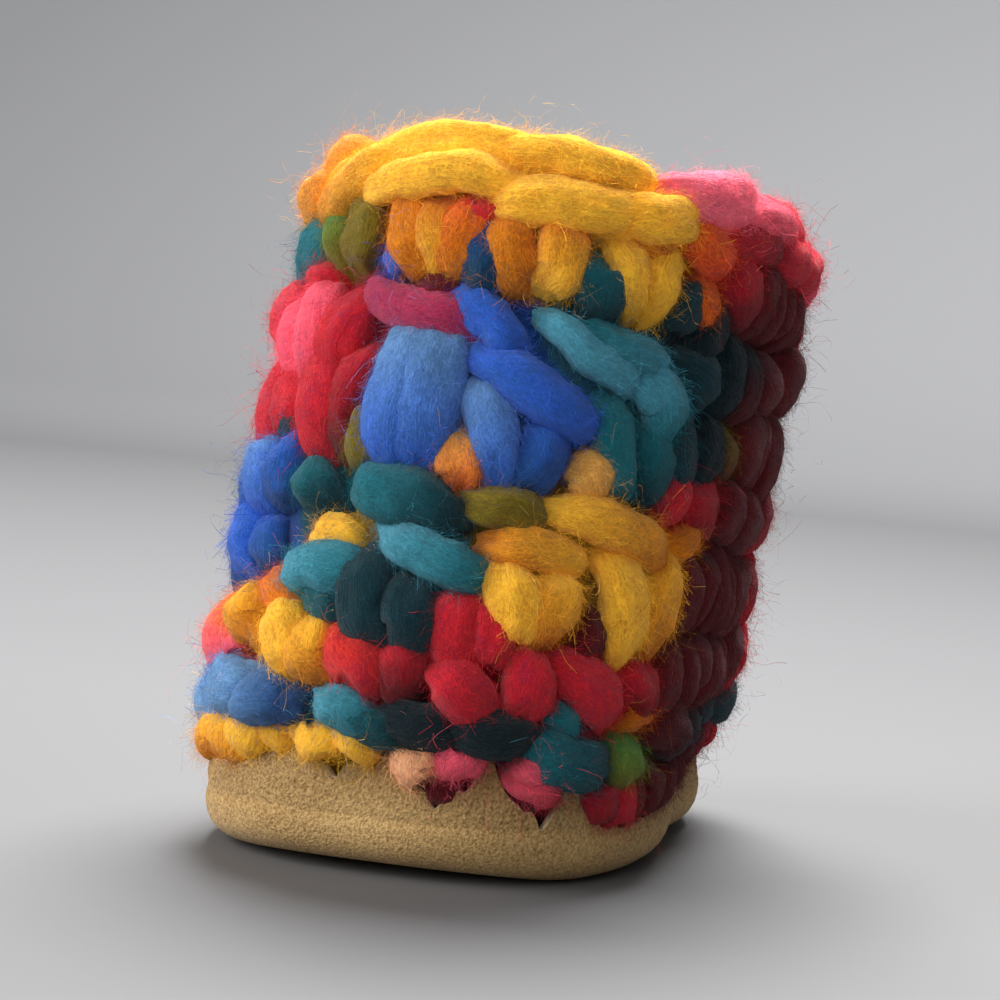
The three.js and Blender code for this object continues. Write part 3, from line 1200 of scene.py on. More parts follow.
class SubAssembly:
    """What every sub-assembly shares: how its pieces are dressed."""

    def dress(self, piece: bpy.types.Object, slot: Slot, *nodes: str) -> None:
        """Puts a piece on the slipper's body.

        Args:
            piece: The piece.
            slot: The material slot that it stands for. Not used.
            nodes: The solids that it takes the place of.
        """
        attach(piece, BODY)
        if nodes:
            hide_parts(*nodes)
        log.info("%s: %d faces", piece.name, len(piece.data.polygons))


@dataclass
class Sole(SubAssembly):
    """The suede cup, in millimetres.

    Its edge has a point and a nick for each stitch. The points rise towards turn, in degrees, by tilt, and
    the nicks are shallower there by nick_spread. front_edge charts the edge at the toe: stitches and
    heights. Above fold, the wall leans in. Its foot is rounded by round_in and round_up, its toe is raised
    by spring, and a crease runs round it. ragged holds the size, rate and start of the waves on the edge.
    """

    last: Last
    finish: SuedeFinish = SuedeFinish()
    suede: float = 2.0
    point: float = 14.0
    lowest_point: float = 11.0
    tilt: float = 3.4
    turn: float = -40.0
    nick_depth: float = 6.0
    nick_spread: float = 4.0
    nick_deepest: float = 6.6
    nick_place: float = -0.22
    nick_sharpness: float = 1.7
    ragged: tuple[tuple[float, float, float], ...] = ((0.3, 23.0, 0.0), (0.2, 41.0, 1.0))
    least_wall: float = 0.8
    lean: float = 0.8
    lean_limit: float = 1.2
    fold: float = 9.0
    flat_insets: tuple[float, ...] = (22.0, 15.0, 10.0)
    round_in: float = 7.2
    round_up: float = 6.2
    round_powers: tuple[float, float] = (1.15, 1.1)
    round_rows: int = 9
    columns: int = 900
    rows: int = 30
    nap_depth: float = 0.2
    nap_size: float = 0.6
    low_nap: float = 0.3
    nap_growth: float = 1.5
    cut_nap: float = 0.6
    cut_drop: float = 0.3
    cut_rows: tuple[tuple[float, float], ...] = ((0.25, -0.12), (0.9, -0.22), (1.5, -0.1))
    inner_rows: int = 5
    inner_low: float = 5.8
    inner_floor: tuple[tuple[float, float], ...] = ((2.6, 4.3), (4.4, 2.5), (7.0, 2.0), (14.0, 2.0))
    crease: float = 0.3
    crease_place: float = 8.0
    crease_spread: float = 1.3
    spring: float = 1.7
    spring_start: float = 28.0
    spring_run: float = 18.0
    front_edge: tuple[tuple[float, float], ...] = (
        (-2.3, 11.0), (-2.0, 11.6), (-1.5, 12.8), (-1.3, 13.6), (-0.95, 15.8), (-0.84, 17.0), (-0.55, 15.6),
        (-0.25, 13.2), (-0.05, 16.6), (0.2, 18.4), (0.36, 16.8), (0.5, 14.0), (0.62, 12.4), (0.74, 10.6),
        (0.9, 12.4), (1.05, 13.6), (1.25, 18.6), (1.4, 12.8), (1.68, 10.2), (1.78, 8.0), (1.95, 11.0),
        (2.15, 18.2), (2.26, 10.6), (2.55, 7.8), (2.95, 7.4), (3.4, 7.6), (4.0, 8.4), (4.28, 12.0),
    )

    def edge_height(self, stitch: np.ndarray) -> np.ndarray:
        """Heights of the nicked edge.

        Args:
            stitch: Places round the slipper, in stitches from the toe.

        Returns:
            A height for each.
        """
        lift = np.cos(self.last.angle_at(stitch) - math.radians(self.turn))
        off = np.mod(stitch - self.nick_place + 0.5, 1) - 0.5
        near = (1 - 2 * np.abs(off)) ** self.nick_sharpness
        depth = np.clip(self.nick_depth - self.nick_spread * lift, 0, self.nick_deepest)
        ragged = sum(size * np.sin(stitch * rate + start) for size, rate, start in self.ragged)
        rear = np.maximum(self.point + self.tilt * lift, self.lowest_point) - depth * near
        places, heights = np.array(self.front_edge).T
        turned = np.mod(stitch - places[0], STITCHES) + places[0]
        return np.where(turned < places[-1], np.interp(turned, places, heights), rear) + ragged

    def ring(self, stitch: np.ndarray, inset: float, height: float) -> np.ndarray:
        """A level ring of points, lifted with the toe's spring.

        Args:
            stitch: The points' places, in stitches from the toe.
            inset: How far the ring is moved in.
            height: Its height.

        Returns:
            The points.
        """
        points = self.last.outline(stitch, inset + 0 * stitch, height)
        t = np.clip((-points[:, 1] - self.spring_start) / self.spring_run, 0, 1)
        points[:, 2] += self.spring * t * t * (3 - 2 * t)
        return points

    def leaned(self, height: np.ndarray) -> np.ndarray:
        """How far the wall leans in at each height."""
        return self.lean * np.clip((height - self.fold) / (self.point - self.fold), 0, self.lean_limit)

    def napped(self, points: np.ndarray, share: float) -> np.ndarray:
        """Roughens a ring of points with the suede's nap.

        Args:
            points: The points.
            share: The share of the nap's depth.

        Returns:
            The moved points.
        """
        heights = [noise.noise(Vector(q) / self.nap_size) for q in points]
        ways = points - points.mean(axis=0)
        ways[:, 2] = 0
        ways /= np.linalg.norm(ways, axis=1, keepdims=True)
        return points + ways * (np.array(heights) * share * self.nap_depth)[:, None]

    def build(self) -> None:
        """Makes the cup and dresses it."""
        stitch = np.arange(self.columns) / self.columns * STITCHES
        rings = [self.ring(stitch, inset, 0.0) for inset in self.flat_insets]
        for a in np.linspace(0, math.pi / 2, self.round_rows):
            inset = self.round_in * (1 - math.sin(a)) ** self.round_powers[0]
            height = self.round_up * (1 - math.cos(a)) ** self.round_powers[1]
            rings.append(self.ring(stitch, inset, height))
        low = rings[-1][:, 2]
        edge = np.maximum(self.edge_height(stitch), low + self.least_wall)
        for share in np.linspace(0, 1, self.rows)[1:]:
            height = between(low, edge, share)
            off = (height - self.crease_place) / self.crease_spread
            inset = self.leaned(height) + self.crease * np.exp(-(off**2))
            ring = self.last.outline(stitch, inset, height)
            rings.append(self.napped(ring, min(1.0, self.low_nap + self.nap_growth * share)))
        top = self.leaned(edge)
        first_cut = len(rings)
        for inset, drop in (*self.cut_rows, (self.suede, self.cut_drop)):
            ring = self.last.outline(stitch, top + inset, edge - drop)
            rings.append(self.napped(ring, self.cut_nap))
        last_cut = len(rings)
        for share in np.linspace(0, 1, self.inner_rows)[1:]:
            inset = between(top, 0.0, share) + self.suede
            height = between(edge - self.cut_drop, self.inner_low, share)
            rings.append(self.last.outline(stitch, inset, height))
        rings += [self.ring(stitch, inset, height) for inset, height in self.inner_floor]
        mesh = grid_mesh("suede_sole", rings, closed=False)
        cut = np.zeros(len(mesh.vertices))
        cut[first_cut * self.columns:last_cut * self.columns] = 1.0
        Yarn.write(mesh, "cut_edge", "FLOAT", "value", cut)
        mesh.materials.append(self.finish.material())
        self.dress(new_object("suede_sole", mesh), Slot.SUEDE, "sole")


@dataclass
class Insole(SubAssembly):
    """The fleece pad, in millimetres.

    under and over hold insets, and heights from low and from high. From the inset tufted on, the top is
    uneven by tuft.
    """

    last: Last
    sole: Sole
    finish: FleeceFinish = FleeceFinish()
    fill: float = 0.5
    low: float = 2.3
    high: float = 5.0
    under: tuple[tuple[float, float], ...] = ((14.0, 0.0), (7.6, 0.0), (6.0, 0.6), (5.5, 1.4))
    over: tuple[tuple[float, float], ...] = ((6.0, -0.5), (7.2, -0.1))
    top_insets: tuple[float, ...] = (8.5, 10.0, 12.0, 14.0, 16.0, 18.0, 20.0, 22.0)
    top: float = 0.15
    tufted: float = 7.2
    tuft: float = 0.12
    columns: int = 180
    seed: int = 5

    def build(self) -> None:
        """Makes the pad and dresses it."""
        stitch = np.arange(self.columns) / self.columns * STITCHES
        rng = np.random.default_rng(self.seed)
        rings = [self.sole.ring(stitch, inset, self.low + height) for inset, height in self.under]
        for inset, height in (*self.over, *((inset, self.top) for inset in self.top_insets)):
            ring = self.sole.ring(stitch, inset, self.high + height)
            if inset >= self.tufted:
                ring[:, 2] += rng.normal(0, self.tuft, self.columns)
            rings.append(ring)
        mesh = grid_mesh("fleece_insole", rings, closed=False)
        mesh.materials.append(self.finish.material())
        pad = new_object("fleece_insole", mesh)
        self.dress(pad, Slot.FLEECE, "insole")


# The strands that the photo shows, round by round
W = Wool
CHART: dict[Part, list[Strand]] = {
    Part.EDGE: [
        Strand(-2.25, 0.08, -2.15, 0.005, 7.4, W.YELLOW, W.AMBER, lift=-1.0),
        Strand(-1.85, 0.085, -1.75, 0.005, 7.6, W.YELLOW, W.AMBER, lift=-1.0),
        Strand(-1.46, 0.095, -1.42, 0.02, 7.2, W.YELLOW, lift=-1.2),
        Strand(-1.1, 0.105, -1.12, 0.04, 6.6, W.YELLOW, lift=-2.8),
        Strand(-0.8, 0.105, -0.8, 0.05, 6.0, W.YELLOW, lift=-3.4),
        Strand(-0.48, 0.105, -0.42, 0.03, 6.4, W.YELLOW, lift=-1.0),
        Strand(-0.08, 0.1, -0.14, 0.035, 6.4, W.YELLOW, lift=-1.0),
        Strand(0.28, 0.11, 0.3, 0.06, 4.6, W.AMBER, lift=-2.8),
        Strand(0.52, 0.085, 0.66, 0.025, 6.6, W.PEACH, lift=-1.0),
        Strand(0.74, 0.035, 0.76, -0.035, 5.4, W.CRIMSON, lift=-2.6),
        Strand(1.0, 0.085, 0.93, 0.03, 6.4, W.PINK, lift=-1.0),
        Strand(1.52, 0.07, 1.98, 0.05, 6.0, W.PINK, lift=-0.2),
        Strand(1.53, 0.04, 1.96, 0.02, 5.8, W.PINK, W.RED, lift=-0.4),
        Strand(1.82, 0.0, 1.8, -0.06, 4.6, W.CRIMSON, lift=-1.6),
        Strand(2.46, 0.03, 2.58, -0.06, 6.2, W.RED, W.CRIMSON, lift=-1.0),
        Strand(2.72, 0.03, 2.75, -0.06, 6.8, W.RED, lift=-1.0),
        # Crimson on the right side is painted shade as well as the yarn's colour
        Strand(3.08, 0.04, 3.02, -0.06, 6.6, W.CRIMSON, lift=-1.2),
        Strand(3.45, 0.06, 3.4, -0.055, 7.0, W.CRIMSON, lift=-1.2),
        Strand(3.85, 0.06, 3.8, -0.05, 7.0, W.CRIMSON, lift=-1.2),
        Strand(4.25, 0.06, 4.22, -0.045, 7.0, W.CRIMSON, lift=-1.2),
    ],
    Part.ROPE: [
        Strand(-2.3, 0.125, -1.35, 0.13, 7.4, W.LIGHT_BLUE, lift=0.8),
        Strand(-1.6, 0.12, -0.85, 0.12, 6.6, W.LIGHT_BLUE, W.NAVY),
        Strand(-1.05, 0.12, -0.55, 0.12, 5.6, W.NAVY, W.DARK_TEAL, lift=-0.8),
        Strand(-0.6, 0.135, 0.15, 0.1, 5.4, W.LIGHT_TEAL, W.TEAL, lift=1.2),
        Strand(-0.4, 0.12, 0.5, 0.1, 5.0, W.TEAL, W.DARK_TEAL, lift=0.8),
        # Dark teal here is also painted shade below the vamp
        Strand(0.15, 0.118, 1.0, 0.112, 5.6, W.DARK_TEAL, lift=0.6),
        Strand(0.8, 0.115, 1.7, 0.098, 5.8, W.DARK_TEAL, lift=0.8),
        Strand(1.55, 0.08, 2.4, 0.05, 6.6, W.TEAL, W.DEEP_TEAL, lift=0.8),
        Strand(1.7, 0.135, 2.1, 0.128, 4.6, W.TEAL, lift=0.4),
        Strand(2.68, 0.105, 2.82, 0.02, 6.0, W.GREEN, W.OLIVE, lift=0.6),
        Strand(2.65, 0.138, 3.05, 0.13, 4.0, W.AMBER, W.ORANGE),
        Strand(3.1, 0.12, 3.9, 0.09, 7.4, W.CRIMSON, W.DARK_TEAL),
    ],
    Part.FOOT: [
        Strand(-2.1, 0.185, -1.85, 0.165, 4.5, W.PINK),
        Strand(-1.95, 0.285, -1.65, 0.195, 7.0, W.YELLOW, W.AMBER),
        Strand(-1.5, 0.305, -1.15, 0.25, 5.6, W.ORANGE, W.AMBER, lift=0.0),
        Strand(-1.25, 0.255, -0.85, 0.165, 7.0, W.YELLOW, lift=1.2),
        Strand(-0.85, 0.255, -0.55, 0.16, 7.0, W.YELLOW, W.AMBER, lift=0.8),
        Strand(-0.4, 0.25, -0.02, 0.145, 6.8, W.SCARLET, W.RED, lift=1.2),
        Strand(0.1, 0.23, 0.45, 0.15, 6.4, W.RED, W.CRIMSON, lift=0.6),
        Strand(0.85, 0.315, 0.85, 0.2, 6.6, W.RED, lift=0.6),
        Strand(1.12, 0.305, 1.05, 0.205, 6.2, W.RED, lift=0.8),
        Strand(0.62, 0.208, 1.22, 0.125, 7.0, W.RED, lift=1.2),
        Strand(1.6, 0.225, 1.5, 0.135, 7.0, W.RED, lift=1.0),
        Strand(1.78, 0.215, 2.45, 0.135, 7.0, W.RED, lift=1.2),
        Strand(2.08, 0.3, 2.12, 0.21, 5.6, W.CRIMSON, lift=0.2),
        Strand(2.65, 0.235, 2.85, 0.12, 6.2, W.RED, W.CRIMSON, lift=0.8),
        Strand(3.1, 0.26, 3.25, 0.13, 7.4, W.CRIMSON),
        Strand(3.6, 0.26, 3.75, 0.13, 7.4, W.CRIMSON),
    ],
    Part.VAMP: [
        Strand(-2.15, 0.520, -1.9, 0.400, 8.4, W.LIGHT_BLUE, W.BLUE, lift=1.0),
        Strand(-1.75, 0.510, -1.6, 0.410, 7.2, W.BLUE, W.NAVY, lift=0.4),
        Strand(-2.25, 0.420, -2.05, 0.300, 8.6, W.BLUE),
        Strand(-1.8, 0.400, -1.75, 0.300, 6.4, W.BLUE, W.NAVY, lift=0.0),
        Strand(-1.35, 0.470, -0.8, 0.412, 6.4, W.TEAL, W.DEEP_TEAL),
        Strand(-1, 0.380, -0.45, 0.372, 5.2, W.YELLOW, lift=0.4),
        Strand(-0.6, 0.455, 0.65, 0.422, 7.4, W.TEAL, W.DEEP_TEAL, lift=1.4),
        Strand(-0.15, 0.395, 0.98, 0.33, 6.0, W.LIGHT_TEAL, W.TEAL, lift=2.2),
        Strand(-1.2, 0.315, -0.25, 0.322, 7.0, W.LIGHT_TEAL, W.TEAL, lift=1.4),
        Strand(-1.05, 0.275, -0.4, 0.282, 5.6, W.TEAL, W.DEEP_TEAL, lift=0.4),
        Strand(-0.3, 0.350, -0.02, 0.217, 7.2, W.DEEP_TEAL, lift=1.8),
        Strand(0.32, 0.325, 0.28, 0.212, 7.4, W.DEEP_TEAL, lift=1.6),
        Strand(0.65, 0.448, 1.5, 0.422, 5.8, W.OLIVE, lift=0.6),
        Strand(0.92, 0.380, 1.9, 0.382, 5.2, W.AMBER, W.YELLOW, lift=0.6),
        Strand(1.2, 0.360, 1.3, 0.240, 7.2, W.YELLOW, lift=1.4),
        Strand(1.64, 0.358, 1.6, 0.240, 7.0, W.YELLOW, W.AMBER, lift=1.2),
        Strand(1.5, 0.445, 2.8, 0.39, 6.0, W.YELLOW, W.AMBER, lift=1.8),
        Strand(2.15, 0.385, 2.46, 0.220, 7.2, W.YELLOW, lift=1.6),
        Strand(2.92, 0.390, 2.74, 0.230, 7.0, W.YELLOW, W.AMBER, lift=1.4),
        Strand(2.95, 0.405, 3.4, 0.430, 5.0, W.AMBER),
        Strand(2.5, 0.515, 2.9, 0.450, 6.6, W.RED),
        Strand(2.95, 0.515, 3.6, 0.445, 7.4, W.RED, W.CRIMSON),
        Strand(3.3, 0.410, 3.4, 0.250, 7.4, W.CRIMSON),
        Strand(3.75, 0.41, 3.8, 0.26, 7.4, W.CRIMSON),
        Strand(3.55, 0.5, 4.5, 0.44, 8.0, W.CRIMSON, lift=1.2),
        Strand(4.2, 0.41, 4.25, 0.25, 7.8, W.CRIMSON),
    ],
    Part.ANKLE: [
        Strand(-2.2, 0.745, -2.1, 0.61, 7.6, W.PINK),
        Strand(-1.7, 0.755, -1.6, 0.6, 7.6, W.PINK, lift=1.0),
        Strand(-1.2, 0.745, -1.25, 0.61, 7.0, W.RED),
        Strand(-2.1, 0.63, -1.85, 0.51, 6.4, W.RED),
        Strand(-1.5, 0.65, -1.15, 0.49, 7.0, W.RED, lift=1.0),
        Strand(-1.0, 0.65, -0.95, 0.495, 6.0, W.RED, W.CRIMSON),
        Strand(-1.1, 0.735, 0.5, 0.685, 5.8, W.ROSE, lift=1.0),
        Strand(-0.34, 0.685, -0.26, 0.49, 9.8, W.LIGHT_BLUE, W.BLUE, lift=1.4),
        Strand(0.02, 0.68, 0.04, 0.495, 9.6, W.LIGHT_BLUE, W.BLUE, lift=1.4),
        Strand(0.18, 0.755, 0.98, 0.655, 5.4, W.BLUE, lift=1.2),
        Strand(0.55, 0.66, 1.7, 0.56, 6.4, W.BLUE, lift=2.2),
        Strand(0.66, 0.63, 0.98, 0.47, 6.4, W.LIGHT_BLUE, W.BLUE, lift=1.2),
        Strand(1.32, 0.565, 1.15, 0.47, 6.6, W.BLUE, W.NAVY, lift=0.6),
        Strand(1.1, 0.715, 2.05, 0.64, 5.2, W.LIGHT_TEAL, lift=1.8),
        Strand(1.5, 0.725, 2.25, 0.66, 4.8, W.TEAL, W.LIGHT_TEAL, lift=1.6),
        Strand(1.98, 0.665, 2.5, 0.57, 6.4, W.LIGHT_TEAL, W.TEAL, lift=2.0),
        Strand(1.8, 0.615, 2.1, 0.475, 6.4, W.TEAL, lift=1.0),
        Strand(2.36, 0.585, 2.28, 0.47, 6.4, W.TEAL, W.DEEP_TEAL, lift=1.0),
        Strand(2.5, 0.71, 3.0, 0.63, 6.8, W.DEEP_TEAL),
        Strand(2.6, 0.63, 2.75, 0.48, 7.0, W.DEEP_TEAL),
        Strand(3.05, 0.75, 3.2, 0.62, 7.0, W.DARK_TEAL),
        Strand(3.1, 0.62, 3.2, 0.5, 7.0, W.DARK_TEAL),
        Strand(3.5, 0.62, 3.5, 0.5, 6.6, W.OLIVE, W.CRIMSON),
        Strand(3.6, 0.75, 3.7, 0.62, 7.0, W.DARK_TEAL, W.CRIMSON),
        Strand(-0.72, 0.575, -0.55, 0.485, 5.6, W.OLIVE, lift=0.2),
        Strand(0.52, 0.55, 0.6, 0.45, 6.0, W.TAN, W.ORANGE, lift=0.4),
        Strand(1.6, 0.525, 1.95, 0.46, 6.4, W.TAN, lift=0.8),
        Strand(-1.8, 0.56, -1.7, 0.5, 5.0, W.DEEP_TEAL, lift=0.0),
    ],
    Part.TEETH: [
        Strand(-2.2, 0.88, -2.3, 0.76, 7.4, W.TEAL),
        Strand(-1.72, 0.88, -1.6, 0.775, 5.2, W.GREEN, W.OLIVE),
        Strand(-1.3, 0.88, -1.35, 0.78, 5.6, W.OLIVE),
        Strand(-0.9, 0.885, -0.42, 0.765, 6.2, W.AMBER, lift=1.0),
        Strand(-0.42, 0.885, -0.28, 0.765, 6.0, W.AMBER, W.YELLOW, lift=1.2),
        Strand(0.1, 0.885, -0.1, 0.775, 6.4, W.ORANGE, W.AMBER, lift=0.8),
        Strand(0.52, 0.875, 0.82, 0.765, 6.0, W.AMBER, lift=1.0),
        Strand(1.15, 0.87, 1.02, 0.758, 6.6, W.AMBER, W.YELLOW, lift=1.6),
        Strand(1.52, 0.865, 1.85, 0.745, 5.6, W.YELLOW, lift=1.4),
        Strand(2.1, 0.865, 1.98, 0.755, 5.2, W.YELLOW, lift=1.2),
        Strand(2.15, 0.885, 2.7, 0.845, 6.6, W.ORANGE, W.SCARLET, lift=1.0),
        Strand(2.42, 0.835, 2.7, 0.755, 5.0, W.ORANGE, lift=0.6),
        Strand(2.9, 0.9, 3.1, 0.76, 7.6, W.RED, W.CRIMSON),
        Strand(3.3, 0.9, 3.4, 0.76, 7.6, W.CRIMSON),
        Strand(3.75, 0.9, 3.75, 0.76, 7.6, W.CRIMSON),
        Strand(4.15, 0.89, 4.2, 0.76, 7.8, W.CRIMSON),
        Strand(-1.0, 0.8, -0.5, 0.775, 5.6, W.BLUE, lift=0.2),
        Strand(-0.6, 0.755, 0.1, 0.745, 5.5, W.CRIMSON, lift=-1.0),
        Strand(0.25, 0.865, 0.45, 0.745, 7.0, W.NAVY, W.DEEP_TEAL, lift=0.2),
        Strand(0.25, 0.895, 0.3, 0.835, 4.4, W.RED, W.SCARLET, lift=0.6),
        Strand(1.42, 0.83, 1.5, 0.735, 6.8, W.TEAL, W.DEEP_TEAL, lift=0.6),
        Strand(2.3, 0.82, 2.3, 0.74, 5.6, W.DEEP_TEAL, lift=0.2),
        Strand(2.7, 0.8, 2.8, 0.7, 6.4, W.DARK_TEAL, lift=0.2),
        Strand(-1.95, 0.775, -1.6, 0.75, 5.5, W.RED),
    ],
    Part.CHAIN: [
        Strand(-2.4, 0.885, -1.5, 0.945, 6.0, W.AMBER, W.YELLOW, lift=0.0, sink=0.5),
        Strand(-2.1, 0.865, -1.05, 0.95, 5.8, W.AMBER, W.YELLOW, lift=1.0),
        Strand(-1.35, 0.885, 0.64, 0.9, 5.8, W.YELLOW, lift=2.0, bow=0.024),
        Strand(-1.7, 0.925, 0.88, 0.952, 6.2, W.YELLOW, lift=-1.0, bow=0.026, sink=0.3),
        Strand(0.4, 0.872, 1.7, 0.893, 6.2, W.YELLOW, lift=2.0, bow=0.013),
        Strand(0.3, 0.958, 1.8, 0.93, 5.8, W.YELLOW, lift=-0.6, bow=0.014, sink=0.3),
        Strand(1.45, 0.872, 2.2, 0.905, 6.6, W.YELLOW, lift=1.8, bow=0.006),
        Strand(1.5, 0.856, 2.12, 0.866, 4.0, W.AMBER, lift=1.0),
        # The lighter pink here is painted light on the chain's right rim
        Strand(1.9, 0.935, 3.0, 0.955, 7.0, W.LIGHT_PINK, lift=0.8, bow=0.01, sink=0.5),
        Strand(2.75, 0.955, 4.2, 0.945, 7.4, W.LIGHT_PINK, W.RED, lift=0.6, sink=0.5),
        Strand(2.5, 0.905, 3.8, 0.91, 7.4, W.RED, W.CRIMSON),
    ],
}
CHART_FROM = -2.3
CHART_TO = 3.9

# The colours that each round runs through on the rest of the slipper, a stitch to each
# Each run starts on the slipper's right side, where crimson also stands for painted shade
RUNS: dict[Part, str] = {
    Part.EDGE: "crimson crimson red red rose pink peach peach tan yellow yellow amber yellow",
    # The rope's run starts with dark and deep teal, which also stand for painted shade
    Part.ROPE: "dark_teal deep_teal deep_teal teal teal light_teal navy navy blue blue blue "
    "light_blue light_blue",
    Part.FOOT: "crimson crimson red red scarlet scarlet orange amber yellow yellow amber orange pink",
    Part.VAMP: "crimson crimson red red pink peach orange amber green teal deep_teal navy blue",
    Part.ANKLE: "crimson crimson crimson orange amber amber yellow olive green teal blue red red",
    Part.TEETH: "crimson crimson red rose pink orange yellow yellow olive green teal teal teal",
    Part.CHAIN: "red red pink pink rose red scarlet orange orange amber yellow yellow amber",
}


@dataclass(frozen=True)
class StitchForm:
    """The strands of a plain stitch, about a middle at stitch 0.

    Its round is moved on by offset, in stitches. Each strand has its ends, as stitches and rises, its width
    and its lift.
    """

    part: Part
    offset: float
    strands: tuple[tuple[float, float, float, float, float, float], ...]
    sink: float = 1.0


PLAIN: list[StitchForm] = [
    StitchForm(Part.EDGE, -0.2, ((-0.26, 0.08, -0.14, 0.0, 7.2, -1.2), (0.26, 0.08, 0.14, 0.0, 7.2, -1.2))),
    StitchForm(Part.ROPE, 0.3, ((-0.62, 0.115, 0.55, 0.09, 7.4, 0.2),)),
    StitchForm(Part.FOOT, 0.3, ((-0.4, 0.265, -0.1, 0.14, 8.4, 0.8), (0.12, 0.25, 0.4, 0.13, 8.6, 0.9))),
    StitchForm(
        Part.VAMP,
        -0.2,
        (
            (-0.55, 0.49, 0.5, 0.43, 8.4, 1.5),
            (-0.3, 0.41, -0.12, 0.24, 8.4, 0.9),
            (0.3, 0.4, 0.14, 0.235, 8.2, 0.9),
        ),
    ),
    StitchForm(
        Part.ANKLE,
        0.3,
        (
            (-0.55, 0.74, 0.5, 0.675, 8.2, 1.5),
            (-0.3, 0.665, -0.12, 0.49, 8.6, 0.9),
            (0.3, 0.655, 0.14, 0.485, 8.4, 0.9),
        ),
    ),
    StitchForm(
        Part.TEETH,
        -0.2,
        (
            (-0.28, 0.885, -0.08, 0.765, 7.2, 0.9),
            (0.26, 0.88, 0.1, 0.76, 7.2, 0.9),
            (0.5, 0.84, 0.5, 0.74, 8.0, -0.2),
        ),
    ),
    StitchForm(
        Part.CHAIN,
        0.3,
        ((-0.75, 0.892, 0.65, 0.925, 6.8, 1.7), (-0.65, 0.95, 0.8, 0.95, 7.4, -1.4)),
        sink=0.4,
    ),
]


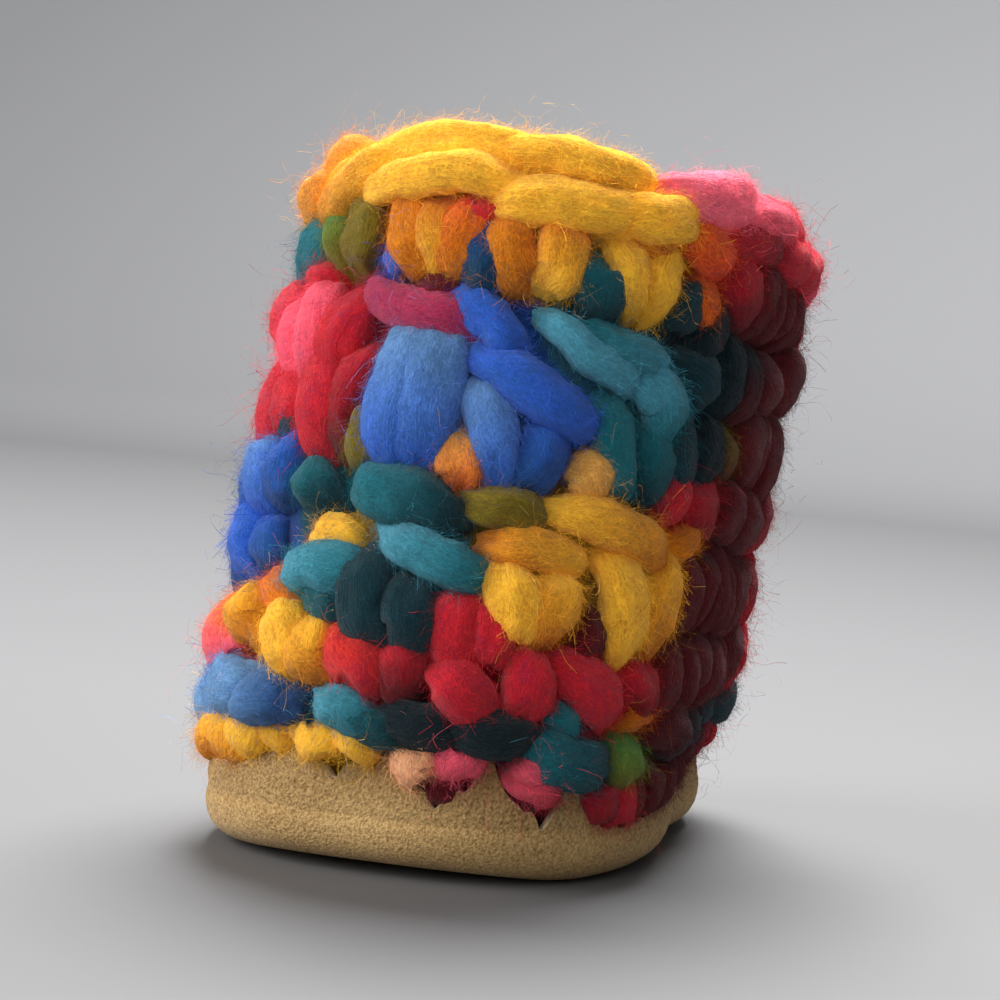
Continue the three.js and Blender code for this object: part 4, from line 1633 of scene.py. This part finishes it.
@dataclass
class Upper(SubAssembly):
    """The crocheted upper, worked in rounds, in millimetres.

    A plain stitch is moved by chance: shift_spread in stitches, rise_spread in rises, and its size between
    two bounds. Its colour is that of tint_lead stitches on by its end. The rounds on the inside have their
    own rises, widths, lift and sink. The core is the wall behind the strands: core_foot holds the insets
    and heights of its tucked foot, and core_shade darkens it, painted shade for the gaps between strands.
    """

    last: Last
    yarn: Yarn
    fuzz: "Fuzz"
    finish: WoolFinish = WoolFinish()
    thickness: float = 8.0
    plain_nap: float = 0.52
    shift_spread: float = 0.07
    rise_spread: float = 0.01
    size_bounds: tuple[float, float] = (0.86, 1.14)
    tint_lead: float = 0.6
    inside_rounds: tuple[tuple[Part, float], ...] = (
        (Part.FOOT, 0.1),
        (Part.FOOT, 0.235),
        (Part.VAMP, 0.37),
        (Part.VAMP, 0.505),
        (Part.ANKLE, 0.64),
        (Part.ANKLE, 0.77),
        (Part.TEETH, 0.895),
    )
    inside_half: float = 0.62
    inside_slant: float = 0.012
    inside_widths: tuple[float, float] = (9.0, 10.5)
    inside_lift: float = 1.6
    inside_sink: float = -0.4
    core_out: float = -1.6
    core_in: float = -6.6
    core_columns: int = 216
    core_rises: tuple[float, float, int] = (0.13, 0.9, 38)
    core_foot: tuple[tuple[float, float], ...] = (
        (6.6, 12.0), (6.2, 5.6), (3.2, 5.6), (3.4, 11.0), (4.2, 16.0), (4.2, 19.0),
    )
    core_shade: float = 0.3
    rise_weight: float = 6.0
    seed: int = 11
    charts: dict[Part, list[Strand]] = field(default_factory=dict)

    def __post_init__(self) -> None:
        """Fills the charts: as listed on the front, and by plain stitches on the rest."""
        rng = np.random.default_rng(self.seed)
        for form in PLAIN:
            strands = list(CHART[form.part])
            for k in range(STITCHES):
                middle = k + form.offset
                if not CHART_TO < middle < STITCHES + CHART_FROM:
                    continue
                strands += self.plain(form, middle, rng)
            self.charts[form.part] = strands
        self.charts[Part.INSIDE] = self.inside(rng)

    def tint_at(self, part: Part, stitch: float) -> Wool:
        """The colour of a plain stitch in its round's run, which changes about once a stitch."""
        run = RUNS[part].split()
        return Wool[run[int(max(stitch - CHART_TO, 0)) % len(run)].upper()]

    def plain(self, form: StitchForm, middle: float, rng: np.random.Generator) -> list[Strand]:
        """The strands of one plain stitch.

        Args:
            form: The stitch.
            middle: Where it lies.
            rng: Where its small differences come from.

        Returns:
            Its strands.
        """
        tint = self.tint_at(form.part, middle)
        after = self.tint_at(form.part, middle + self.tint_lead)
        strands = []
        for u0, v0, u1, v1, width, lift in form.strands:
            du = rng.normal(0, self.shift_spread)
            dv = rng.normal(0, self.rise_spread)
            size = width * rng.uniform(*self.size_bounds)
            ends = (middle + u0 + du, v0 + dv, middle + u1 + du, v1 + dv)
            strands.append(Strand(*ends, size, tint, after, lift=lift, nap=self.plain_nap, sink=form.sink))
        return strands

    def inside(self, rng: np.random.Generator) -> list[Strand]:
        """The strands that show on the inside of the wall.

        Args:
            rng: Where their small differences come from.

        Returns:
            The strands.
        """
        strands = []
        lift = self.inside_lift - self.thickness
        for part, rise in self.inside_rounds:
            for k in range(STITCHES):
                tint = self.tint_at(part, k + CHART_TO)
                slant = rng.normal(0, self.inside_slant)
                ends = (k - self.inside_half, rise + slant, k + self.inside_half, rise - slant)
                width = rng.uniform(*self.inside_widths)
                strands.append(Strand(*ends, width, tint, lift=lift, sink=self.inside_sink))
        return strands

    def core(self, skin: bpy.types.Material) -> None:
        """Makes the wall behind the strands, tinted as the strands near it, and dresses it.

        Args:
            skin: The wool's material.
        """
        stitch = np.arange(self.core_columns) / self.core_columns * STITCHES
        rises = np.linspace(*self.core_rises)
        flat = 0 * stitch
        rings = [self.last.outline(stitch, inset + flat, height) for inset, height in self.core_foot]
        places = [(stitch, flat) for _ in self.core_foot]
        for out, column in ((self.core_out, rises), (self.core_in, rises[::-1])):
            for rise in column:
                rings.append(self.last.place(stitch, rise + flat, out + flat))
                places.append((stitch, rise + flat))
        mesh = grid_mesh("upper_core", rings, closed=True)
        spots = np.concatenate([np.stack(p, axis=1) for p in places])
        Yarn.write(mesh, "wool_tint", "FLOAT_COLOR", "color", self.tints_near(spots))
        mesh.materials.append(skin)
        self.dress(new_object("upper_core", mesh), Slot.WOOL, "upper")

    def tints_near(self, spots: np.ndarray) -> np.ndarray:
        """The colour of the strand nearest to each place, darkened as painted shade.

        Args:
            spots: Places, in stitches and shares of the height.

        Returns:
            A colour for each.
        """
        middles, tints = [], []
        for part, strands in self.charts.items():
            if part is Part.INSIDE:
                continue
            for s in strands:
                middles.append(((s.from_stitch + s.to_stitch) / 2, (s.from_rise + s.to_rise) / 2))
                tints.append(s.tint.colour)
        off = spots[:, None, :] - np.array(middles)[None]
        off[..., 0] = np.mod(off[..., 0] + STITCHES / 2, STITCHES) - STITCHES / 2
        off[..., 1] *= self.rise_weight
        nearest = np.argmin((off**2).sum(axis=-1), axis=1)
        colours = np.array(tints)[nearest]
        # Painted shade: the wall between the strands is darkened
        colours[:, :3] *= self.core_shade
        return colours

    def build(self) -> None:
        """Makes the wall, the strands of each round and the fibres on them, and dresses them."""
        skin = self.finish.material()
        self.core(skin)
        tree = StrandTree()
        for seed, (part, strands) in enumerate(self.charts.items()):
            piece = self.yarn.piece(part, strands, tree, skin)
            if part is Part.CHAIN:
                self.dress(piece, Slot.EDGING, "collar_edging")
            else:
                self.dress(piece, Slot.WOOL)
            if part is Part.INSIDE:
                continue
            for charted in (True, False):
                fibres = self.fuzz.build(piece, seed, charted)
                self.dress(fibres, Slot.EDGING if part is Part.CHAIN else Slot.WOOL)


@dataclass
class Fuzz:
    """The loose fibres on the wool: a short nap, and a few long ones that stray. curl is in millimetres."""

    finish: FibreFinish = FibreFinish()
    nap: FibreForm = FibreForm(
        "Nap",
        density=6.1,
        length=2.5,
        width=0.018,
        rise=0.23,
        spread=1.4,
        paleness=0.8,
        wave=620.0,
        bend=0.34,
        joints=3,
    )
    stray: FibreForm = FibreForm(
        "Stray",
        density=0.3,
        length=5.5,
        width=0.012,
        rise=0.42,
        spread=3.1,
        paleness=1.0,
        wave=330.0,
        bend=1.0,
        joints=11,
    )
    curl: float = 15.0

    def __post_init__(self) -> None:
        """Makes the tree and the material once, for every round."""
        self.tree = FibreTree((self.nap, self.stray))
        self.skin = self.finish.material()

    def build(self, piece: bpy.types.Object, seed: int, charted: bool) -> bpy.types.Object:
        """Makes the fibres of one round.

        Args:
            piece: The round's strands.
            seed: The round's seed.
            charted: Whether they grow on the front's charted strands or on the plain ones.

        Returns:
            The fibres.
        """
        sizes = {"Seed": seed, "Charted": float(charted), "Curl": self.curl * MM, "Material": self.skin}
        sizes |= self.nap.sizes() | self.stray.sizes()
        roots = new_object("fibre roots", piece.data)
        name = piece.name.replace("wool", "fuzz" if charted else "fuzz_rear")
        return self.tree.run(roots, name, sizes)


@dataclass(frozen=True)
class Lamp:
    """A soft square light: where it hangs and its side, in millimetres, and its power in watts."""

    name: str
    place: tuple[float, float, float]
    side: float
    power: float


@dataclass
class Studio:
    """Floor, light and camera. Sizes are in millimetres, and the camera's place is the photograph's.

    The floor is level as far as backdrop and bends up from there, on a circle of backdrop_radius. The
    camera's roll is in degrees, and its clip_start is in metres.
    """

    finish: FloorFinish = FloorFinish()
    camera_place: tuple[float, float, float] = (181.7, -527.8, 95.0)
    look_at: tuple[float, float, float] = (1.0, 0.0, 48.5)
    roll: float = 4.0
    lens: float = 139.5
    sensor: float = 36.0
    clip_start: float = 0.01
    floor_size: float = 6000.0
    backdrop: float = 900.0
    backdrop_radius: float = 500.0
    backdrop_steps: int = 16
    lamps: tuple[Lamp, ...] = (
        Lamp("window", (-80.0, 500.0, 950.0), 620.0, 35.0),
        Lamp("side", (-950.0, -600.0, 600.0), 900.0, 14.0),
        Lamp("front", (0.0, -1150.0, 650.0), 900.0, 5.4),
    )
    sky_tint: tuple[float, float, float, float] = (0.92, 0.96, 1.0, 1.0)
    sky_strength: float = 0.18

    def floor(self, skin: bpy.types.Material) -> None:
        """Lays the floor, which bends up into a backdrop far behind.

        Args:
            skin: The floor's material.
        """
        half = self.floor_size / 2
        radius = self.backdrop_radius
        profile = [(-half, 0.0)]
        for a in np.linspace(0, math.pi / 2, self.backdrop_steps + 1):
            profile.append((self.backdrop + radius * math.sin(a), radius * (1 - math.cos(a))))
        profile.append((self.backdrop + radius, half))
        points = [(x, y, z) for y, z in profile for x in (-half, half)]
        faces = [(2 * k, 2 * k + 1, 2 * k + 3, 2 * k + 2) for k in range(len(profile) - 1)]
        mesh = bpy.data.meshes.new("floor")
        mesh.from_pydata(np.array(points) * MM, [], faces)
        mesh.polygons.foreach_set("use_smooth", np.ones(len(faces), bool))
        mesh.materials.append(skin)
        new_object("floor", mesh)

    def light(self, lamp: Lamp) -> None:
        """Hangs a light that looks at the slipper.

        Args:
            lamp: The light.
        """
        data = bpy.data.lights.new(lamp.name, "AREA")
        data.size = lamp.side * MM
        data.energy = lamp.power
        obj = bpy.data.objects.new(lamp.name, data)
        obj.location = Vector(lamp.place) * MM
        aim = Vector(self.look_at) * MM - obj.location
        obj.rotation_euler = aim.to_track_quat("-Z", "Y").to_euler()
        bpy.context.scene.collection.objects.link(obj)

    def camera(self) -> None:
        """Sets the camera at the photograph's angle, rolled as it is there."""
        lens = bpy.data.cameras.new("camera")
        lens.lens = self.lens
        lens.sensor_width = self.sensor
        lens.clip_start = self.clip_start
        obj = bpy.data.objects.new("camera", lens)
        forward = (Vector(self.look_at) - Vector(self.camera_place)).normalized()
        right = forward.cross(Vector((0, 0, 1))).normalized()
        up = right.cross(forward)
        turn = math.radians(self.roll)
        rolled_right = right * math.cos(turn) + up * math.sin(turn)
        rolled_up = up * math.cos(turn) - right * math.sin(turn)
        axes = Matrix((rolled_right, rolled_up, -forward)).transposed()
        obj.matrix_world = Matrix.Translation(Vector(self.camera_place) * MM) @ axes.to_4x4()
        bpy.context.scene.collection.objects.link(obj)
        bpy.context.scene.camera = obj

    def build(self) -> None:
        """Makes the whole studio."""
        self.camera()
        self.floor(self.finish.material())
        for lamp in self.lamps:
            self.light(lamp)
        world = bpy.data.worlds.new("studio")
        world.use_nodes = True
        sky = world.node_tree.nodes["Background"]
        sky.inputs["Color"].default_value = self.sky_tint
        sky.inputs["Strength"].default_value = self.sky_strength
        bpy.context.scene.world = world
        bpy.context.scene.view_settings.view_transform = "Standard"


def main() -> None:
    """Builds the slipper and its studio."""
    logging.basicConfig(level=logging.INFO, format="%(name)s: %(message)s")
    last = Last()
    Studio().build()
    sole = Sole(last)
    sole.build()
    Insole(last, sole).build()
    Upper(last, Yarn(last, sole), Fuzz()).build()


if __name__ == "__main__":
    main()
